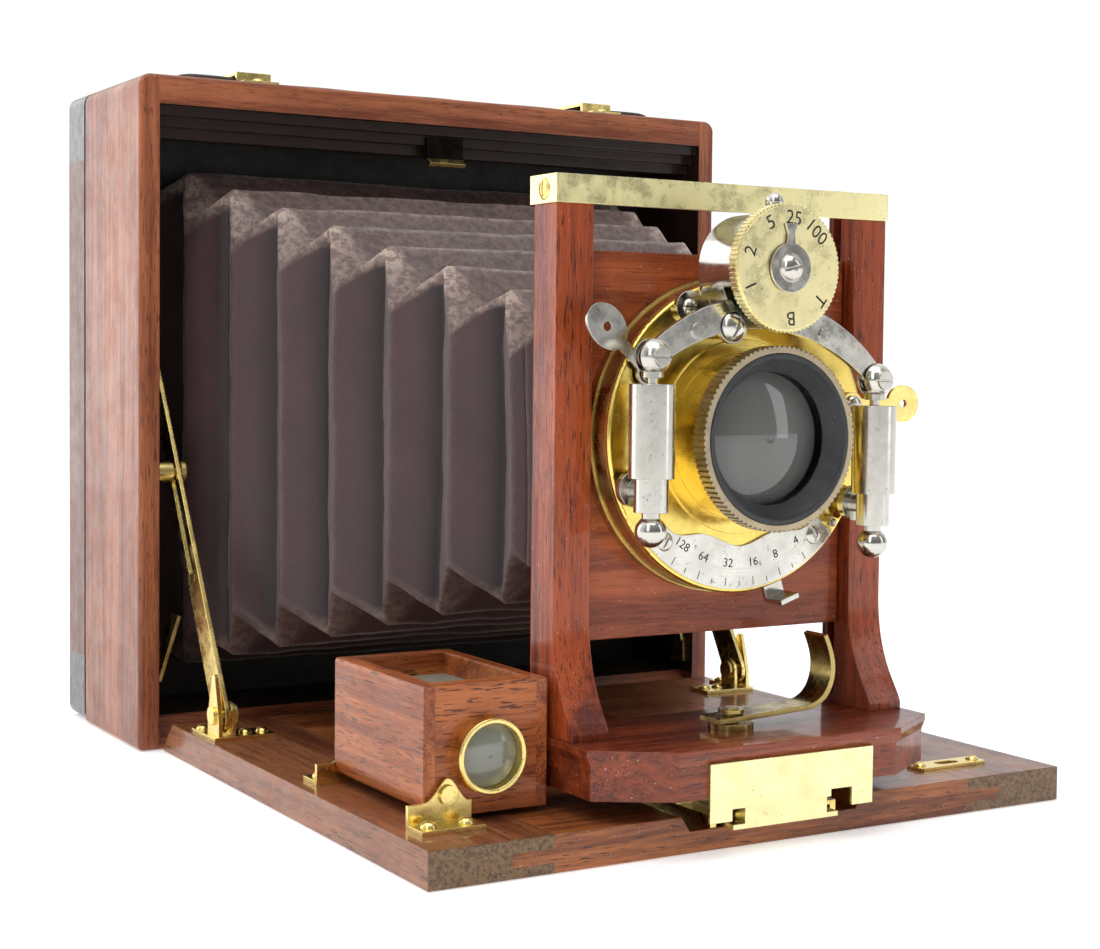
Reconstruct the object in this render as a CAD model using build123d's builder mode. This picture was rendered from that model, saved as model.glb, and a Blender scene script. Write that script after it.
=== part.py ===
from build123d import *
import math
import os

os.makedirs("parts", exist_ok=True)

# Drop-bed folding plate camera, millimetres. X right, Y back, Z up.
# Origin: middle of the body's lower front edge, on the plane the camera stands on.

body_width = 165.0
body_height = 161.0
body_depth = 43.0
side_wall = 5.0
top_wall = 7.0
floor_top = 7.2
inner_half = body_width / 2 - side_wall
inner_top = body_height - top_wall
middle_z = (floor_top + inner_top) / 2

bed_half = 76.7
bed_front = -140.3
bed_top = 7.2
stile_joint = 50.6
tongue_end = 59.4
track_half = 22.4

hinge_y = -0.3
hinge_z = 1.6
hinge_x = 35.0

strut_pivot_y = -27.5
strut_pivot_z = 12.6
stud_y = 4.5
stud_z = 66.5
strut_reach = math.hypot(stud_y - strut_pivot_y, stud_z - strut_pivot_z)
strut_angle = math.degrees(math.atan2(stud_z - strut_pivot_z, stud_y - strut_pivot_y))

finder_left = -69.2
finder_right = -42.5
finder_front = -123.3
finder_rear = -83.3
finder_bottom = 8.4
finder_top = 33.4
finder_pivot_x = -64.6
finder_pivot_z = 12.9

post_outer = 40.8
post_inner = 32.5
post_front = -122.2
post_rear = -113.6
post_top = 130.4
base_bottom = 11.5
base_top = 21.2

board_front = -118.8
board_back = -113.8
board_low = 39.0
board_high = 116.1

lens_z = 79.4
case_radius = 31.6
case_front = -125.8
face_front = -127.0
barrel_radius = 16.8
ring_radius = 18.3
ring_back = -136.5
ring_front = -140.2

dial_z = 112.8
dial_radius = 12.6
cylinder_x = 27.3
cylinder_y = -135.7
arm_pivot_x = -9.0
arm_pivot_z = 101.3


on_floor = (Align.CENTER, Align.CENTER, Align.MIN)
hung = (Align.CENTER, Align.CENTER, Align.MAX)


def facing(y, x=0.0, z=0.0):
    """Plane looking at the front of the camera, its normal along -Y."""
    return Plane(origin=(x, y, z), x_dir=(1, 0, 0), z_dir=(0, -1, 0))


def sideways(x, y=0.0, z=0.0):
    """Plane whose normal runs along +X, drawn in Y and Z."""
    return Plane(origin=(x, y, z), x_dir=(0, 1, 0), z_dir=(1, 0, 0))


def screw(radius, head, depth, slot=0.5):
    """Slotted round-head screw, seat at z=0, head above."""
    with BuildPart(mode=Mode.PRIVATE) as one:
        with Locations((0, 0, 0.1)):
            Cylinder(radius * 0.5, depth + 0.1, align=hung)
        with BuildSketch(Plane.XZ):
            with BuildLine():
                Line((0, 0), (radius, 0))
                ThreePointArc((radius, 0), (radius * 0.62, head * 0.85), (0, head))
                Line((0, head), (0, 0))
            make_face()
        revolve(axis=Axis.Z)
        with Locations((0, 0, head)):
            Box(radius * 3, slot, head, mode=Mode.SUBTRACT)
    return one.part


def dome(radius, edge, sag):
    """Plano-convex glass, flat face at z=0, dome up."""
    curve = (radius**2 + sag**2) / (2 * sag)
    with BuildPart(mode=Mode.PRIVATE) as glass:
        Cylinder(radius, edge + sag, align=on_floor)
        with Locations((0, 0, edge + sag - curve)):
            Sphere(curve, mode=Mode.INTERSECT)
    return glass.part


# ---------------------------------------------------------------- body

handle_x = 50.0
handle_y = 18.0
loop_screws = [(s * handle_x, handle_y + t * 10.5) for s in (-1, 1) for t in (-1, 1)]

with BuildPart() as body_case:
    with Locations((0, body_depth / 2, body_height / 2)):
        Box(body_width, body_depth, body_height)
    fillet(body_case.edges().filter_by(Axis.Y).group_by(Axis.Z)[-1], 3.0)
    fillet(body_case.edges().filter_by(Axis.Y).group_by(Axis.Z)[0], 1.2)
    with Locations((0, body_depth / 2, middle_z)):
        Box(2 * inner_half, body_depth, inner_top - floor_top, mode=Mode.SUBTRACT)
    fillet(body_case.edges().filter_by(Axis.X).group_by(Axis.Z)[-1], 1.0)
    # stepped moulding under the roof
    with BuildSketch(Plane.YZ):
        with BuildLine():
            Polyline((2.0, inner_top), (2.0, 151.6), (4.2, 151.6), (4.2, 149.2), (6.4, 149.2))
            Polyline((6.4, 149.2), (6.4, 146.6), (11.0, 146.6), (11.0, inner_top), (2.0, inner_top))
        make_face()
    extrude(amount=inner_half, both=True)
    # mitre on the front of the floor, closed by the folded bed
    with BuildSketch(Plane.YZ):
        with BuildLine():
            Polyline((0, 0.8), (6.4, floor_top), (6.4, 9.0), (-1.0, 9.0), (-1.0, 0.8), (0, 0.8))
        make_face()
    extrude(amount=inner_half, both=True, mode=Mode.SUBTRACT)
    # gains for the two butt hinges
    with Locations((-hinge_x, 0, 0), (hinge_x, 0, 0)):
        with Locations(Location((0, hinge_y, hinge_z), (0, 90, 0))):
            Cylinder(1.8, 24.6, mode=Mode.SUBTRACT)
        with Locations(Location((0, 0, 0.8), (45, 0, 0))):
            Box(24.6, 6.2, 0.8, align=(Align.CENTER, Align.MIN, Align.MAX), mode=Mode.SUBTRACT)
    # bores for the strut studs, the loop screws and the tripod bush
    with Locations(Location((0, stud_y, stud_z), (0, 90, 0))):
        Cylinder(1.1, 2 * inner_half + 6.0, mode=Mode.SUBTRACT)
    with Locations(*[(x, y, body_height) for x, y in loop_screws]):
        Cylinder(0.8, 8.4, mode=Mode.SUBTRACT)
    with Locations((0, 24.0, 0)):
        Cylinder(6.5, 5.4, align=on_floor, mode=Mode.SUBTRACT)
    # four boards: the roof and the floor stand between the two sides
    for x in (-inner_half, inner_half):
        split(bisect_by=Plane.YZ.offset(x), keep=Keep.BOTH)
body_case.part.label = "body_case"
export_step(body_case.part, "parts/body_case.step")

# partition that the bellows is glued to
with BuildPart() as bellows_frame:
    with Locations((0, 33.2, middle_z)):
        Box(2 * inner_half, 4.0, inner_top - floor_top)
        Box(130.0, 4.0, 110.0, mode=Mode.SUBTRACT)
bellows_frame.part.label = "bellows_frame"
export_step(bellows_frame.part, "parts/bellows_frame.step")

# leaf springs on the side walls that push the bed open, and the clip that holds it shut
with BuildPart() as body_springs:
    with BuildSketch(Plane.YZ):
        with BuildLine():
            Polyline((4.2, 151.2), (3.2, 151.2), (3.2, 146.0), (1.4, 144.6), (2.2, 143.8))
            Polyline((2.2, 143.8), (4.2, 145.6), (4.2, 151.2))
        make_face()
    extrude(amount=5.2, both=True)
    with BuildSketch(facing(3.0)):
        for s in (-1, 1):
            with BuildLine():
                Polyline((s * 77.5, 10.0), (s * 77.5, 17.0), (s * 76.5, 17.0), (s * 71.8, 31.6))
                Polyline((s * 71.8, 31.6), (s * 71.0, 31.4), (s * 75.9, 16.0), (s * 76.5, 15.8))
                Polyline((s * 76.5, 15.8), (s * 76.5, 10.0), (s * 77.5, 10.0))
            make_face()
    extrude(amount=-6.0)
body_springs.part.label = "body_springs"
export_step(body_springs.part, "parts/body_springs.step")

# knuckles of the butt hinges: outer pair on the body, middle one on the bed
knuckle_ends = [s * hinge_x + t * 8.1 for s in (-1, 1) for t in (-1, 1)]
pin_ends = [s * hinge_x + t * 11.9 for s in (-1, 1) for t in (-1, 1)]

with BuildPart() as hinge_body_leaves:
    with Locations(*[Location((x, hinge_y, hinge_z), (0, 90, 0)) for x in knuckle_ends]):
        Cylinder(1.4, 7.8)
    with Locations(*[Location((s * hinge_x, 0, 0.8), (45, 0, 0)) for s in (-1, 1)]):
        Box(24.0, 6.2, 0.8, align=(Align.CENTER, Align.MIN, Align.MAX))
    with Locations(*[Location((x, 0, 0.8), (45, 0, 0)) for x in knuckle_ends]):
        Box(7.8, 0.9, 0.6, align=hung)
    with Locations(*[Location((s * hinge_x, hinge_y, hinge_z), (0, 90, 0)) for s in (-1, 1)]):
        Cylinder(1.75, 8.4, mode=Mode.SUBTRACT)
    with Locations(Location((0, hinge_y, hinge_z), (0, 90, 0))):
        Cylinder(0.75, 4 * hinge_x, mode=Mode.SUBTRACT)
    with Locations(*[Location((s * hinge_x, hinge_y, hinge_z), (0, 90, 0)) for s in (-1, 1)]):
        Cylinder(0.65, 24.0)
    with Locations(*[Location((x, hinge_y, hinge_z), (0, 90, 0)) for x in pin_ends]):
        Cylinder(0.8, 0.2)
hinge_body_leaves.part.label = "hinge_body_leaves"
export_step(hinge_body_leaves.part, "parts/hinge_body_leaves.step")

with BuildPart() as hinge_bed_leaves:
    with Locations(*[Location((s * hinge_x, hinge_y, hinge_z), (0, 90, 0)) for s in (-1, 1)]):
        Cylinder(1.4, 8.0)
    with Locations(*[Location((s * hinge_x, -0.6, 0.8), (-45, 0, 0)) for s in (-1, 1)]):
        Box(24.0, 6.2, 0.8, align=(Align.CENTER, Align.MAX, Align.MAX))
        Box(8.0, 0.9, 0.6, align=hung)
    with Locations(*[Location((x, hinge_y, hinge_z), (0, 90, 0)) for x in knuckle_ends]):
        Cylinder(1.75, 8.0, mode=Mode.SUBTRACT)
    with Locations(Location((0, hinge_y, hinge_z), (0, 90, 0))):
        Cylinder(0.7, 4 * hinge_x, mode=Mode.SUBTRACT)
hinge_bed_leaves.part.label = "hinge_bed_leaves"
export_step(hinge_bed_leaves.part, "parts/hinge_bed_leaves.step")

# shouldered studs the strut slots ride on, and the screws of the handle loops
with BuildPart() as body_screws:
    for s in (-1, 1):
        with Locations(Location((s * inner_half, stud_y, stud_z), (0, -90 * s, 0))):
            Cylinder(1.1, 3.0, align=hung)
            Cylinder(2.6, 4.3, align=on_floor)
            Cylinder(1.2, 6.4, align=on_floor)
        with Locations(Location((s * (inner_half - 6.4), stud_y, stud_z), (0, -90 * s, 0))):
            Cylinder(2.6, 1.1, align=on_floor)
    with Locations(*[(x, y, body_height + 1.0) for x, y in loop_screws]):
        add(screw(1.6, 0.9, 4.0))
body_screws.part.label = "body_screws"
export_step(body_screws.part, "parts/body_screws.step")

# leather handle: flat strap with thickened ends, held down by two loops
with BuildPart() as handle_strap:
    with BuildSketch(facing(handle_y + 7.0)):
        with BuildLine():
            Polyline((-69.0, 161.0), (-69.0, 162.6), (-66.0, 163.8), (-54.0, 163.8), (-50.0, 163.2))
            Polyline((-50.0, 163.2), (50.0, 163.2), (54.0, 163.8), (66.0, 163.8), (69.0, 162.6))
            Polyline((69.0, 162.6), (69.0, 161.0), (-69.0, 161.0))
        make_face()
    extrude(amount=14.0)
handle_strap.part.label = "handle_strap"
export_step(handle_strap.part, "parts/handle_strap.step")

with BuildPart() as handle_loops:
    with BuildSketch(sideways(handle_x - 4.5)):
        with BuildLine():
            Polyline((4.5, 161.0), (4.5, 162.0), (9.9, 162.0), (9.9, 164.6), (26.1, 164.6))
            Polyline((26.1, 164.6), (26.1, 162.0), (31.5, 162.0), (31.5, 161.0), (25.1, 161.0))
            Polyline((25.1, 161.0), (25.1, 163.8), (10.9, 163.8), (10.9, 161.0), (4.5, 161.0))
        make_face()
    extrude(amount=9.0)
    with Locations(*[(x, y, body_height) for x, y in loop_screws]):
        Cylinder(0.8, 4.0, mode=Mode.SUBTRACT)
    mirror(about=Plane.YZ)
handle_loops.part.label = "handle_loops"
export_step(handle_loops.part, "parts/handle_loops.step")

# threaded socket for a tripod screw
with BuildPart() as tripod_bush:
    with Locations((0, 24.0, 0.1)):
        Cylinder(6.5, 5.2, align=on_floor)
        Cylinder(2.55, 5.2, align=on_floor, mode=Mode.SUBTRACT)
tripod_bush.part.label = "tripod_bush"
export_step(tripod_bush.part, "parts/tripod_bush.step")

# ---------------------------------------------------------------- back

back_near = body_depth + 0.2
back_far = body_depth + 13.2
back_half = body_width / 2
corner_size = 17.0

with BuildPart() as back_frame:
    with Locations((0, (back_near + back_far) / 2, body_height / 2)):
        Box(2 * back_half, back_far - back_near, body_height)
        Box(132.0, back_far - back_near, 112.0, mode=Mode.SUBTRACT)
    with Locations((0, back_far, body_height / 2)):
        Box(146.0, 16.0, 126.0, mode=Mode.SUBTRACT)
    with Locations(*[(s * back_half, back_near, z) for s in (-1, 1) for z in (0, body_height)]):
        Box(2 * corner_size, 60.0, 2 * corner_size, mode=Mode.SUBTRACT)
back_frame.part.label = "back_frame"
export_step(back_frame.part, "parts/back_frame.step")

# ebonised corner blocks of the reversible back
with BuildPart() as back_corners:
    for s in (-1, 1):
        for z in (corner_size / 2, body_height - corner_size / 2):
            with Locations((s * (back_half - corner_size / 2), (back_near + back_far) / 2, z)):
                Box(corner_size, back_far - back_near, corner_size)
    fillet(back_corners.edges().filter_by(Axis.Y).group_by(Axis.Z)[-1], 3.0)
    fillet(back_corners.edges().filter_by(Axis.Y).group_by(Axis.Z)[0], 3.0)
back_corners.part.label = "back_corners"
export_step(back_corners.part, "parts/back_corners.step")

# sprung frame of the focusing screen
screen_near = back_far - 7.8
screen_far = back_far - 1.0
with BuildPart() as screen_frame:
    with Locations((0, (screen_near + screen_far) / 2, body_height / 2)):
        Box(145.0, screen_far - screen_near, 125.0)
        Box(127.0, screen_far - screen_near, 102.0, mode=Mode.SUBTRACT)
    with Locations((0, screen_near + 2.0, body_height / 2)):
        Box(131.0, 2.2, 106.0, mode=Mode.SUBTRACT)
screen_frame.part.label = "screen_frame"
export_step(screen_frame.part, "parts/screen_frame.step")

with BuildPart() as focusing_screen:
    with Locations((0, screen_near + 2.0, body_height / 2)):
        Box(131.0, 2.2, 106.0)
focusing_screen.part.label = "focusing_screen"
export_step(focusing_screen.part, "parts/focusing_screen.step")

# bowed leaf springs that press the screen frame forward
with BuildPart() as back_springs:
    with BuildSketch(sideways(66.0)):
        with BuildLine():
            Polyline((back_far, 12.0), (back_far + 1.0, 12.0), (back_far + 1.0, 19.0))
            ThreePointArc((back_far + 1.0, 19.0), (back_far, 80.5), (back_far + 1.0, 142.0))
            Polyline((back_far + 1.0, 142.0), (back_far + 1.0, 149.0), (back_far, 149.0))
            Polyline((back_far, 149.0), (back_far, 142.0))
            ThreePointArc((back_far, 142.0), (screen_far, 80.5), (back_far, 19.0))
            Line((back_far, 19.0), (back_far, 12.0))
        make_face()
    extrude(amount=5.0)
    mirror(about=Plane.YZ)
back_springs.part.label = "back_springs"
export_step(back_springs.part, "parts/back_springs.step")

# ---------------------------------------------------------------- bed

catch_screws = [(48.2, -128.0), (63.2, -128.0)]
finder_feet = [(x, y) for x in (-70.2, -62.4) for y in (-127.6, -78.4)]
strut_feet = [(s * x, y) for s in (-1, 1) for x, y in ((66.6, -27.5), (62.4, -27.5), (73.6, -19.0))]
bed_screw_points = catch_screws + finder_feet + strut_feet

with BuildPart() as bed_panel:
    with BuildSketch(Plane.XZ):
        with Locations((0, bed_top / 2)):
            Rectangle(2 * stile_joint, bed_top)
        with Locations((0, 3.3)):
            Rectangle(2 * tongue_end, 2.6)
        with BuildLine():
            Polyline((-track_half, bed_top), (-20.4, 4.2), (20.4, 4.2), (track_half, bed_top))
            Line((track_half, bed_top), (-track_half, bed_top))
        make_face(mode=Mode.SUBTRACT)
    extrude(amount=-bed_front)
    with BuildSketch(Plane.YZ):
        with BuildLine():
            Polyline((1.0, -1.0), (-0.6, -1.0), (-0.6, 0.8), (-7.0, bed_top), (-7.0, 8.0))
            Polyline((-7.0, 8.0), (1.0, 8.0), (1.0, -1.0))
        make_face()
    extrude(amount=bed_half, both=True, mode=Mode.SUBTRACT)
    with Locations(*[Location((s * hinge_x, hinge_y, hinge_z), (0, 90, 0)) for s in (-1, 1)]):
        Cylinder(1.8, 24.6, mode=Mode.SUBTRACT)
    with Locations(*[Location((s * hinge_x, -0.6, 0.8), (-45, 0, 0)) for s in (-1, 1)]):
        Box(24.6, 6.2, 0.8, align=(Align.CENTER, Align.MAX, Align.MAX), mode=Mode.SUBTRACT)
    with Locations(*[(x, y, bed_top) for x, y in bed_screw_points]):
        Cylinder(0.86, 8.0, mode=Mode.SUBTRACT)
bed_panel.part.label = "bed_panel"
export_step(bed_panel.part, "parts/bed_panel.step")

with BuildPart() as bed_stiles:
    with BuildSketch(Plane.XZ):
        for s in (-1, 1):
            with Locations((s * (stile_joint + bed_half) / 2, bed_top / 2)):
                Rectangle(bed_half - stile_joint, bed_top)
        with Locations((0, 3.3)):
            Rectangle(2 * tongue_end, 2.6, mode=Mode.SUBTRACT)
    extrude(amount=-bed_front)
    with BuildSketch(Plane.YZ):
        with BuildLine():
            Polyline((1.0, -1.0), (-0.6, -1.0), (-0.6, 0.8), (-7.0, bed_top), (-7.0, 8.0))
            Polyline((-7.0, 8.0), (1.0, 8.0), (1.0, -1.0))
        make_face()
    extrude(amount=bed_half, both=True, mode=Mode.SUBTRACT)
    with Locations(*[(x, y, bed_top) for x, y in bed_screw_points]):
        Cylinder(0.86, 8.0, mode=Mode.SUBTRACT)
bed_stiles.part.label = "bed_stiles"
export_step(bed_stiles.part, "parts/bed_stiles.step")

# undercut brass rails let into the trough of the bed
with BuildPart() as track_rails:
    with BuildSketch(facing(-9.0)):
        for s in (-1, 1):
            with BuildLine():
                Polyline((s * 14.0, 4.2), (s * 15.4, 4.2), (s * 15.4, 6.6), (s * 10.6, 6.6))
                Polyline((s * 10.6, 6.6), (s * 10.6, 5.7), (s * 14.0, 5.7), (s * 14.0, 4.2))
            make_face()
    extrude(amount=-bed_front - 9.3)
track_rails.part.label = "track_rails"
export_step(track_rails.part, "parts/track_rails.step")

with BuildPart() as catch_plate:
    with BuildSketch(Plane.XY.offset(bed_top)):
        with Locations((55.7, -128.0)):
            RectangleRounded(18.6, 5.2, 0.8)
            SlotOverall(6.0, 2.6, mode=Mode.SUBTRACT)
        with Locations(*catch_screws):
            Circle(0.85, mode=Mode.SUBTRACT)
    extrude(amount=0.7)
catch_plate.part.label = "catch_plate"
export_step(catch_plate.part, "parts/catch_plate.step")

with BuildPart() as finder_brackets:
    for y, t in ((finder_front - 0.4, 1), (finder_rear + 0.4, -1)):
        with BuildSketch(facing(y)):
            with BuildLine():
                Polyline((-73.0, bed_top), (-73.0, 11.6), (-70.0, 11.6))
                Spline((-70.0, 11.6), (-68.0, 12.6), (-64.6, 16.0), (-61.6, 12.6), (-60.6, 11.6))
                Polyline((-60.6, 11.6), (-59.6, 11.6), (-59.6, bed_top), (-73.0, bed_top))
            make_face()
            with Locations((finder_pivot_x, finder_pivot_z)):
                Circle(1.2, mode=Mode.SUBTRACT)
        extrude(amount=t * 0.9)
        with BuildSketch(Plane.XY.offset(bed_top)):
            with Locations((-66.3, y - t * 3.4)):
                Rectangle(13.4, 6.8)
            with Locations(*[p for p in finder_feet if (p[1] < -100) == (t > 0)]):
                Circle(0.85, mode=Mode.SUBTRACT)
        extrude(amount=0.9)
finder_brackets.part.label = "finder_brackets"
export_step(finder_brackets.part, "parts/finder_brackets.step")

# forked brackets the struts are riveted to
with BuildPart() as strut_brackets:
    with BuildSketch(Plane.XY.offset(bed_top)):
        with Locations((68.0, strut_pivot_y)):
            Rectangle(14.8, 8.0)
        with Locations((73.6, -20.5)):
            Rectangle(3.6, 8.0)
        with Locations(*[p for p in strut_feet if p[0] > 0]):
            Circle(0.85, mode=Mode.SUBTRACT)
    extrude(amount=0.9)
    with BuildSketch(sideways(73.4)):
        with BuildLine():
            Polyline((-31.0, bed_top), (-31.0, 12.0), (-28.6, 21.0))
            ThreePointArc((-28.6, 21.0), (-27.5, 22.0), (-26.4, 21.0))
            Polyline((-26.4, 21.0), (-24.0, 12.0), (-24.0, bed_top), (-31.0, bed_top))
        make_face()
    extrude(amount=0.9)
    with BuildSketch(sideways(70.0)):
        with BuildLine():
            Polyline((-30.5, bed_top), (-30.5, 12.6))
            ThreePointArc((-30.5, 12.6), (-27.5, 15.6), (-24.5, 12.6))
            Polyline((-24.5, 12.6), (-24.5, bed_top), (-30.5, bed_top))
        make_face()
    extrude(amount=0.9)
    with Locations(Location((72.0, strut_pivot_y, strut_pivot_z), (0, 90, 0))):
        Cylinder(1.5, 8.0, mode=Mode.SUBTRACT)
    mirror(about=Plane.YZ)
strut_brackets.part.label = "strut_brackets"
export_step(strut_brackets.part, "parts/strut_brackets.step")

# rivets of the struts and the finder
with BuildPart() as bed_rivets:
    for s in (-1, 1):
        with Locations(Location((s * 74.8, strut_pivot_y, strut_pivot_z), (0, -90 * s, 0))):
            Cylinder(1.5, 4.8, align=on_floor)
        with Locations(Location((s * 74.3, strut_pivot_y, strut_pivot_z), (0, 90 * s, 0))):
            Cylinder(2.2, 0.7, align=on_floor)
        with Locations(Location((s * 70.0, strut_pivot_y, strut_pivot_z), (0, -90 * s, 0))):
            Cylinder(2.4, 0.9, align=on_floor)
    for y, t in ((finder_front - 1.3, 90), (finder_rear + 1.3, -90)):
        with Locations(Location((finder_pivot_x, y, finder_pivot_z), (t, 0, 0))):
            Cylinder(1.9, 0.8, align=on_floor)
            Cylinder(1.2, 3.2, align=hung)
bed_rivets.part.label = "bed_rivets"
export_step(bed_rivets.part, "parts/bed_rivets.step")

with BuildPart() as bed_screws:
    with Locations(*[(x, y, bed_top + 0.7) for x, y in catch_screws]):
        add(screw(1.5, 0.7, 3.6))
    with Locations(*[(x, y, bed_top + 0.9) for x, y in finder_feet]):
        add(screw(1.7, 1.1, 3.6))
    with Locations(*[(x, y, bed_top + 0.9) for x, y in strut_feet]):
        add(screw(1.6, 0.9, 3.6))
bed_screws.part.label = "bed_screws"
export_step(bed_screws.part, "parts/bed_screws.step")

# ---------------------------------------------------------------- struts

strut_far = 92.0
strut_tip = 2.6


def strut(x):
    """Slotted side strut drawn along its own length from the rivet."""
    lie = Plane(
        origin=(x, strut_pivot_y, strut_pivot_z),
        x_dir=(0, math.cos(math.radians(strut_angle)), math.sin(math.radians(strut_angle))),
        z_dir=(1, 0, 0),
    )
    with BuildPart(mode=Mode.PRIVATE) as bar:
        with BuildSketch(lie):
            Circle(4.1)
            with BuildLine():
                Polyline((0, -4.1), (strut_far, -strut_tip), (strut_far, strut_tip), (0, 4.1))
                Line((0, 4.1), (0, -4.1))
            make_face()
            with Locations((strut_far, 0)):
                Circle(strut_tip)
            with Locations(((35.3 + strut_reach + 1.7) / 2, 0)):
                SlotOverall(strut_reach + 1.7 - 35.3, 3.4, mode=Mode.SUBTRACT)
            Circle(1.55, mode=Mode.SUBTRACT)
        extrude(amount=1.2)
        fillet(bar.edges().group_by(Axis.X)[-1].filter_by(GeomType.LINE), 0.3)
    return bar.part


with BuildPart() as strut_left:
    add(strut(-72.8))
strut_left.part.label = "strut_left"
export_step(strut_left.part, "parts/strut_left.step")

with BuildPart() as strut_right:
    add(strut(71.6))
strut_right.part.label = "strut_right"
export_step(strut_right.part, "parts/strut_right.step")

# ---------------------------------------------------------------- finder

finder_x = (finder_left + finder_right) / 2
finder_y = (finder_front + finder_rear) / 2
finder_lens_x = -55.9
finder_lens_z = 19.6
finder_width = finder_right - finder_left
finder_depth = finder_rear - finder_front
finder_height = finder_top - finder_bottom

with BuildPart() as finder_box:
    with Locations((finder_x, finder_y, finder_bottom + finder_height / 2)):
        Box(finder_width, finder_depth, finder_height)
    low_left = finder_box.edges().filter_by(Axis.Y).group_by(Axis.Z)[0].sort_by(Axis.X)[0]
    fillet(low_left, 4.4)
    fillet(finder_box.edges().filter_by(Axis.Y).group_by(Axis.Z)[-1], 0.8)
    with Locations((finder_x, finder_y, finder_bottom + 3.4)):
        Box(finder_width - 9.6, finder_depth - 4.8, 17.0, align=on_floor, mode=Mode.SUBTRACT)
    with Locations((finder_x, finder_y, finder_top - 2.6)):
        Box(finder_width - 7.0, finder_depth - 7.6, 6.0, mode=Mode.SUBTRACT)
    with Locations((finder_x, finder_y, finder_top - 5.6)):
        Box(finder_width - 9.6, finder_depth - 10.0, 6.0, mode=Mode.SUBTRACT)
    with Locations(Location((finder_lens_x, finder_front, finder_lens_z), (90, 0, 0))):
        Cylinder(6.2, 12.0, mode=Mode.SUBTRACT)
    for y in (finder_front, finder_rear):
        with Locations(Location((finder_pivot_x, y, finder_pivot_z), (90, 0, 0))):
            Cylinder(1.25, 5.0, mode=Mode.SUBTRACT)
finder_box.part.label = "finder_box"
export_step(finder_box.part, "parts/finder_box.step")

with BuildPart() as finder_lens_ring:
    with BuildSketch(facing(finder_front, finder_lens_x, finder_lens_z)):
        Circle(7.3)
        Circle(6.2, mode=Mode.SUBTRACT)
    extrude(amount=3.2)
    with BuildSketch(facing(finder_front, finder_lens_x, finder_lens_z)):
        Circle(6.2)
        Circle(5.4, mode=Mode.SUBTRACT)
    extrude(amount=-1.8)
    fillet(finder_lens_ring.edges().group_by(Axis.Y)[0], 0.35)
finder_lens_ring.part.label = "finder_lens_ring"
export_step(finder_lens_ring.part, "parts/finder_lens_ring.step")

with BuildPart() as finder_lens:
    with Locations(Location((finder_lens_x, finder_front - 0.2, finder_lens_z), (90, 0, 0))):
        add(dome(6.15, 0.6, 1.0))
finder_lens.part.label = "finder_lens"
export_step(finder_lens.part, "parts/finder_lens.step")

# mirror set at 45 degrees under the screen
with BuildPart() as finder_mirror:
    with BuildSketch(sideways(finder_x)):
        with BuildLine():
            Polyline((-102.6, 11.8), (-101.0, 11.8), (-85.75, 26.6), (-85.75, 28.2), (-102.6, 11.8))
        make_face()
    extrude(amount=8.4, both=True)
finder_mirror.part.label = "finder_mirror"
export_step(finder_mirror.part, "parts/finder_mirror.step")

with BuildPart() as finder_screen:
    with Locations((finder_x, finder_y, finder_top - 5.6)):
        Box(finder_width - 7.0, finder_depth - 7.6, 1.2, align=on_floor)
finder_screen.part.label = "finder_screen"
export_step(finder_screen.part, "parts/finder_screen.step")

# ---------------------------------------------------------------- standard

clamp_x = -3.6
clamp_y = -130.0
bar_low = 124.8
bar_high = 130.4


def base_corners(grow):
    """Plan of the base block with clipped front corners."""
    side = post_outer + grow
    clip = 26.4 + grow / 2
    rear = -112.6 + grow
    front = -145.4 - grow
    left = [(-side, rear), (-side, -136.7), (-clip, front)]
    return left + [(-x, y) for x, y in reversed(left)]


with BuildPart() as standard_base:
    with BuildSketch(Plane.XY.offset(base_bottom)):
        Polygon(*base_corners(0), align=None)
    extrude(amount=base_top - base_bottom)
    with BuildSketch(Plane.XY.offset(base_top - 1.3)):
        Polygon(*base_corners(0.9), align=None)
    extrude(amount=1.3)
    with BuildSketch(Plane.XY.offset(base_top - 3.0)):
        Polygon(*base_corners(0), align=None)
    with BuildSketch(Plane.XY.offset(base_top - 1.3)):
        Polygon(*base_corners(0.9), align=None)
    loft()
    with Locations((clamp_x, clamp_y, base_bottom)):
        Cylinder(2.4, 30.0, mode=Mode.SUBTRACT)
    with Locations(*[(s * x, -117.8, base_top) for s in (-1, 1) for x in (36.6,)]):
        Cylinder(1.5, 12.0, mode=Mode.SUBTRACT)
standard_base.part.label = "standard_base"
export_step(standard_base.part, "parts/standard_base.step")

# grooved uprights with feet that sweep forward
foot_curve = [(-129.8, base_top + 1.6), (-126.6, 28.0), (post_front, 44.0)]

with BuildPart() as posts:
    with BuildSketch(sideways(post_inner)):
        with BuildLine():
            Polyline((post_front, 44.0), (post_front, post_top), (post_rear, post_top))
            Polyline((post_rear, post_top), (post_rear, base_top), (-129.8, base_top))
            Line((-129.8, base_top), (-129.8, base_top + 1.6))
            Spline(foot_curve, tangents=((0.45, 1.0), (0.02, 1.0)))
        make_face()
    extrude(amount=post_outer - post_inner)
    with Locations((post_inner, -116.3, 77.0)):
        Box(4.6, 2.6, 108.0, mode=Mode.SUBTRACT)
    with Locations((post_outer, (post_front + post_rear) / 2, bar_low)):
        Box(1.8, 40.0, 10.0, align=on_floor, mode=Mode.SUBTRACT)
    with Locations((0, post_front, bar_low)):
        Box(200.0, 1.8, 10.0, align=on_floor, mode=Mode.SUBTRACT)
    with Locations(Location((post_outer, -117.8, 127.6), (0, 90, 0))):
        Cylinder(1.15, 14.0, mode=Mode.SUBTRACT)
    with Locations((36.6, -117.8, base_top)):
        Cylinder(1.5, 12.0, mode=Mode.SUBTRACT)
    mirror(about=Plane.YZ)
posts.part.label = "posts"
export_step(posts.part, "parts/posts.step")

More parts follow.
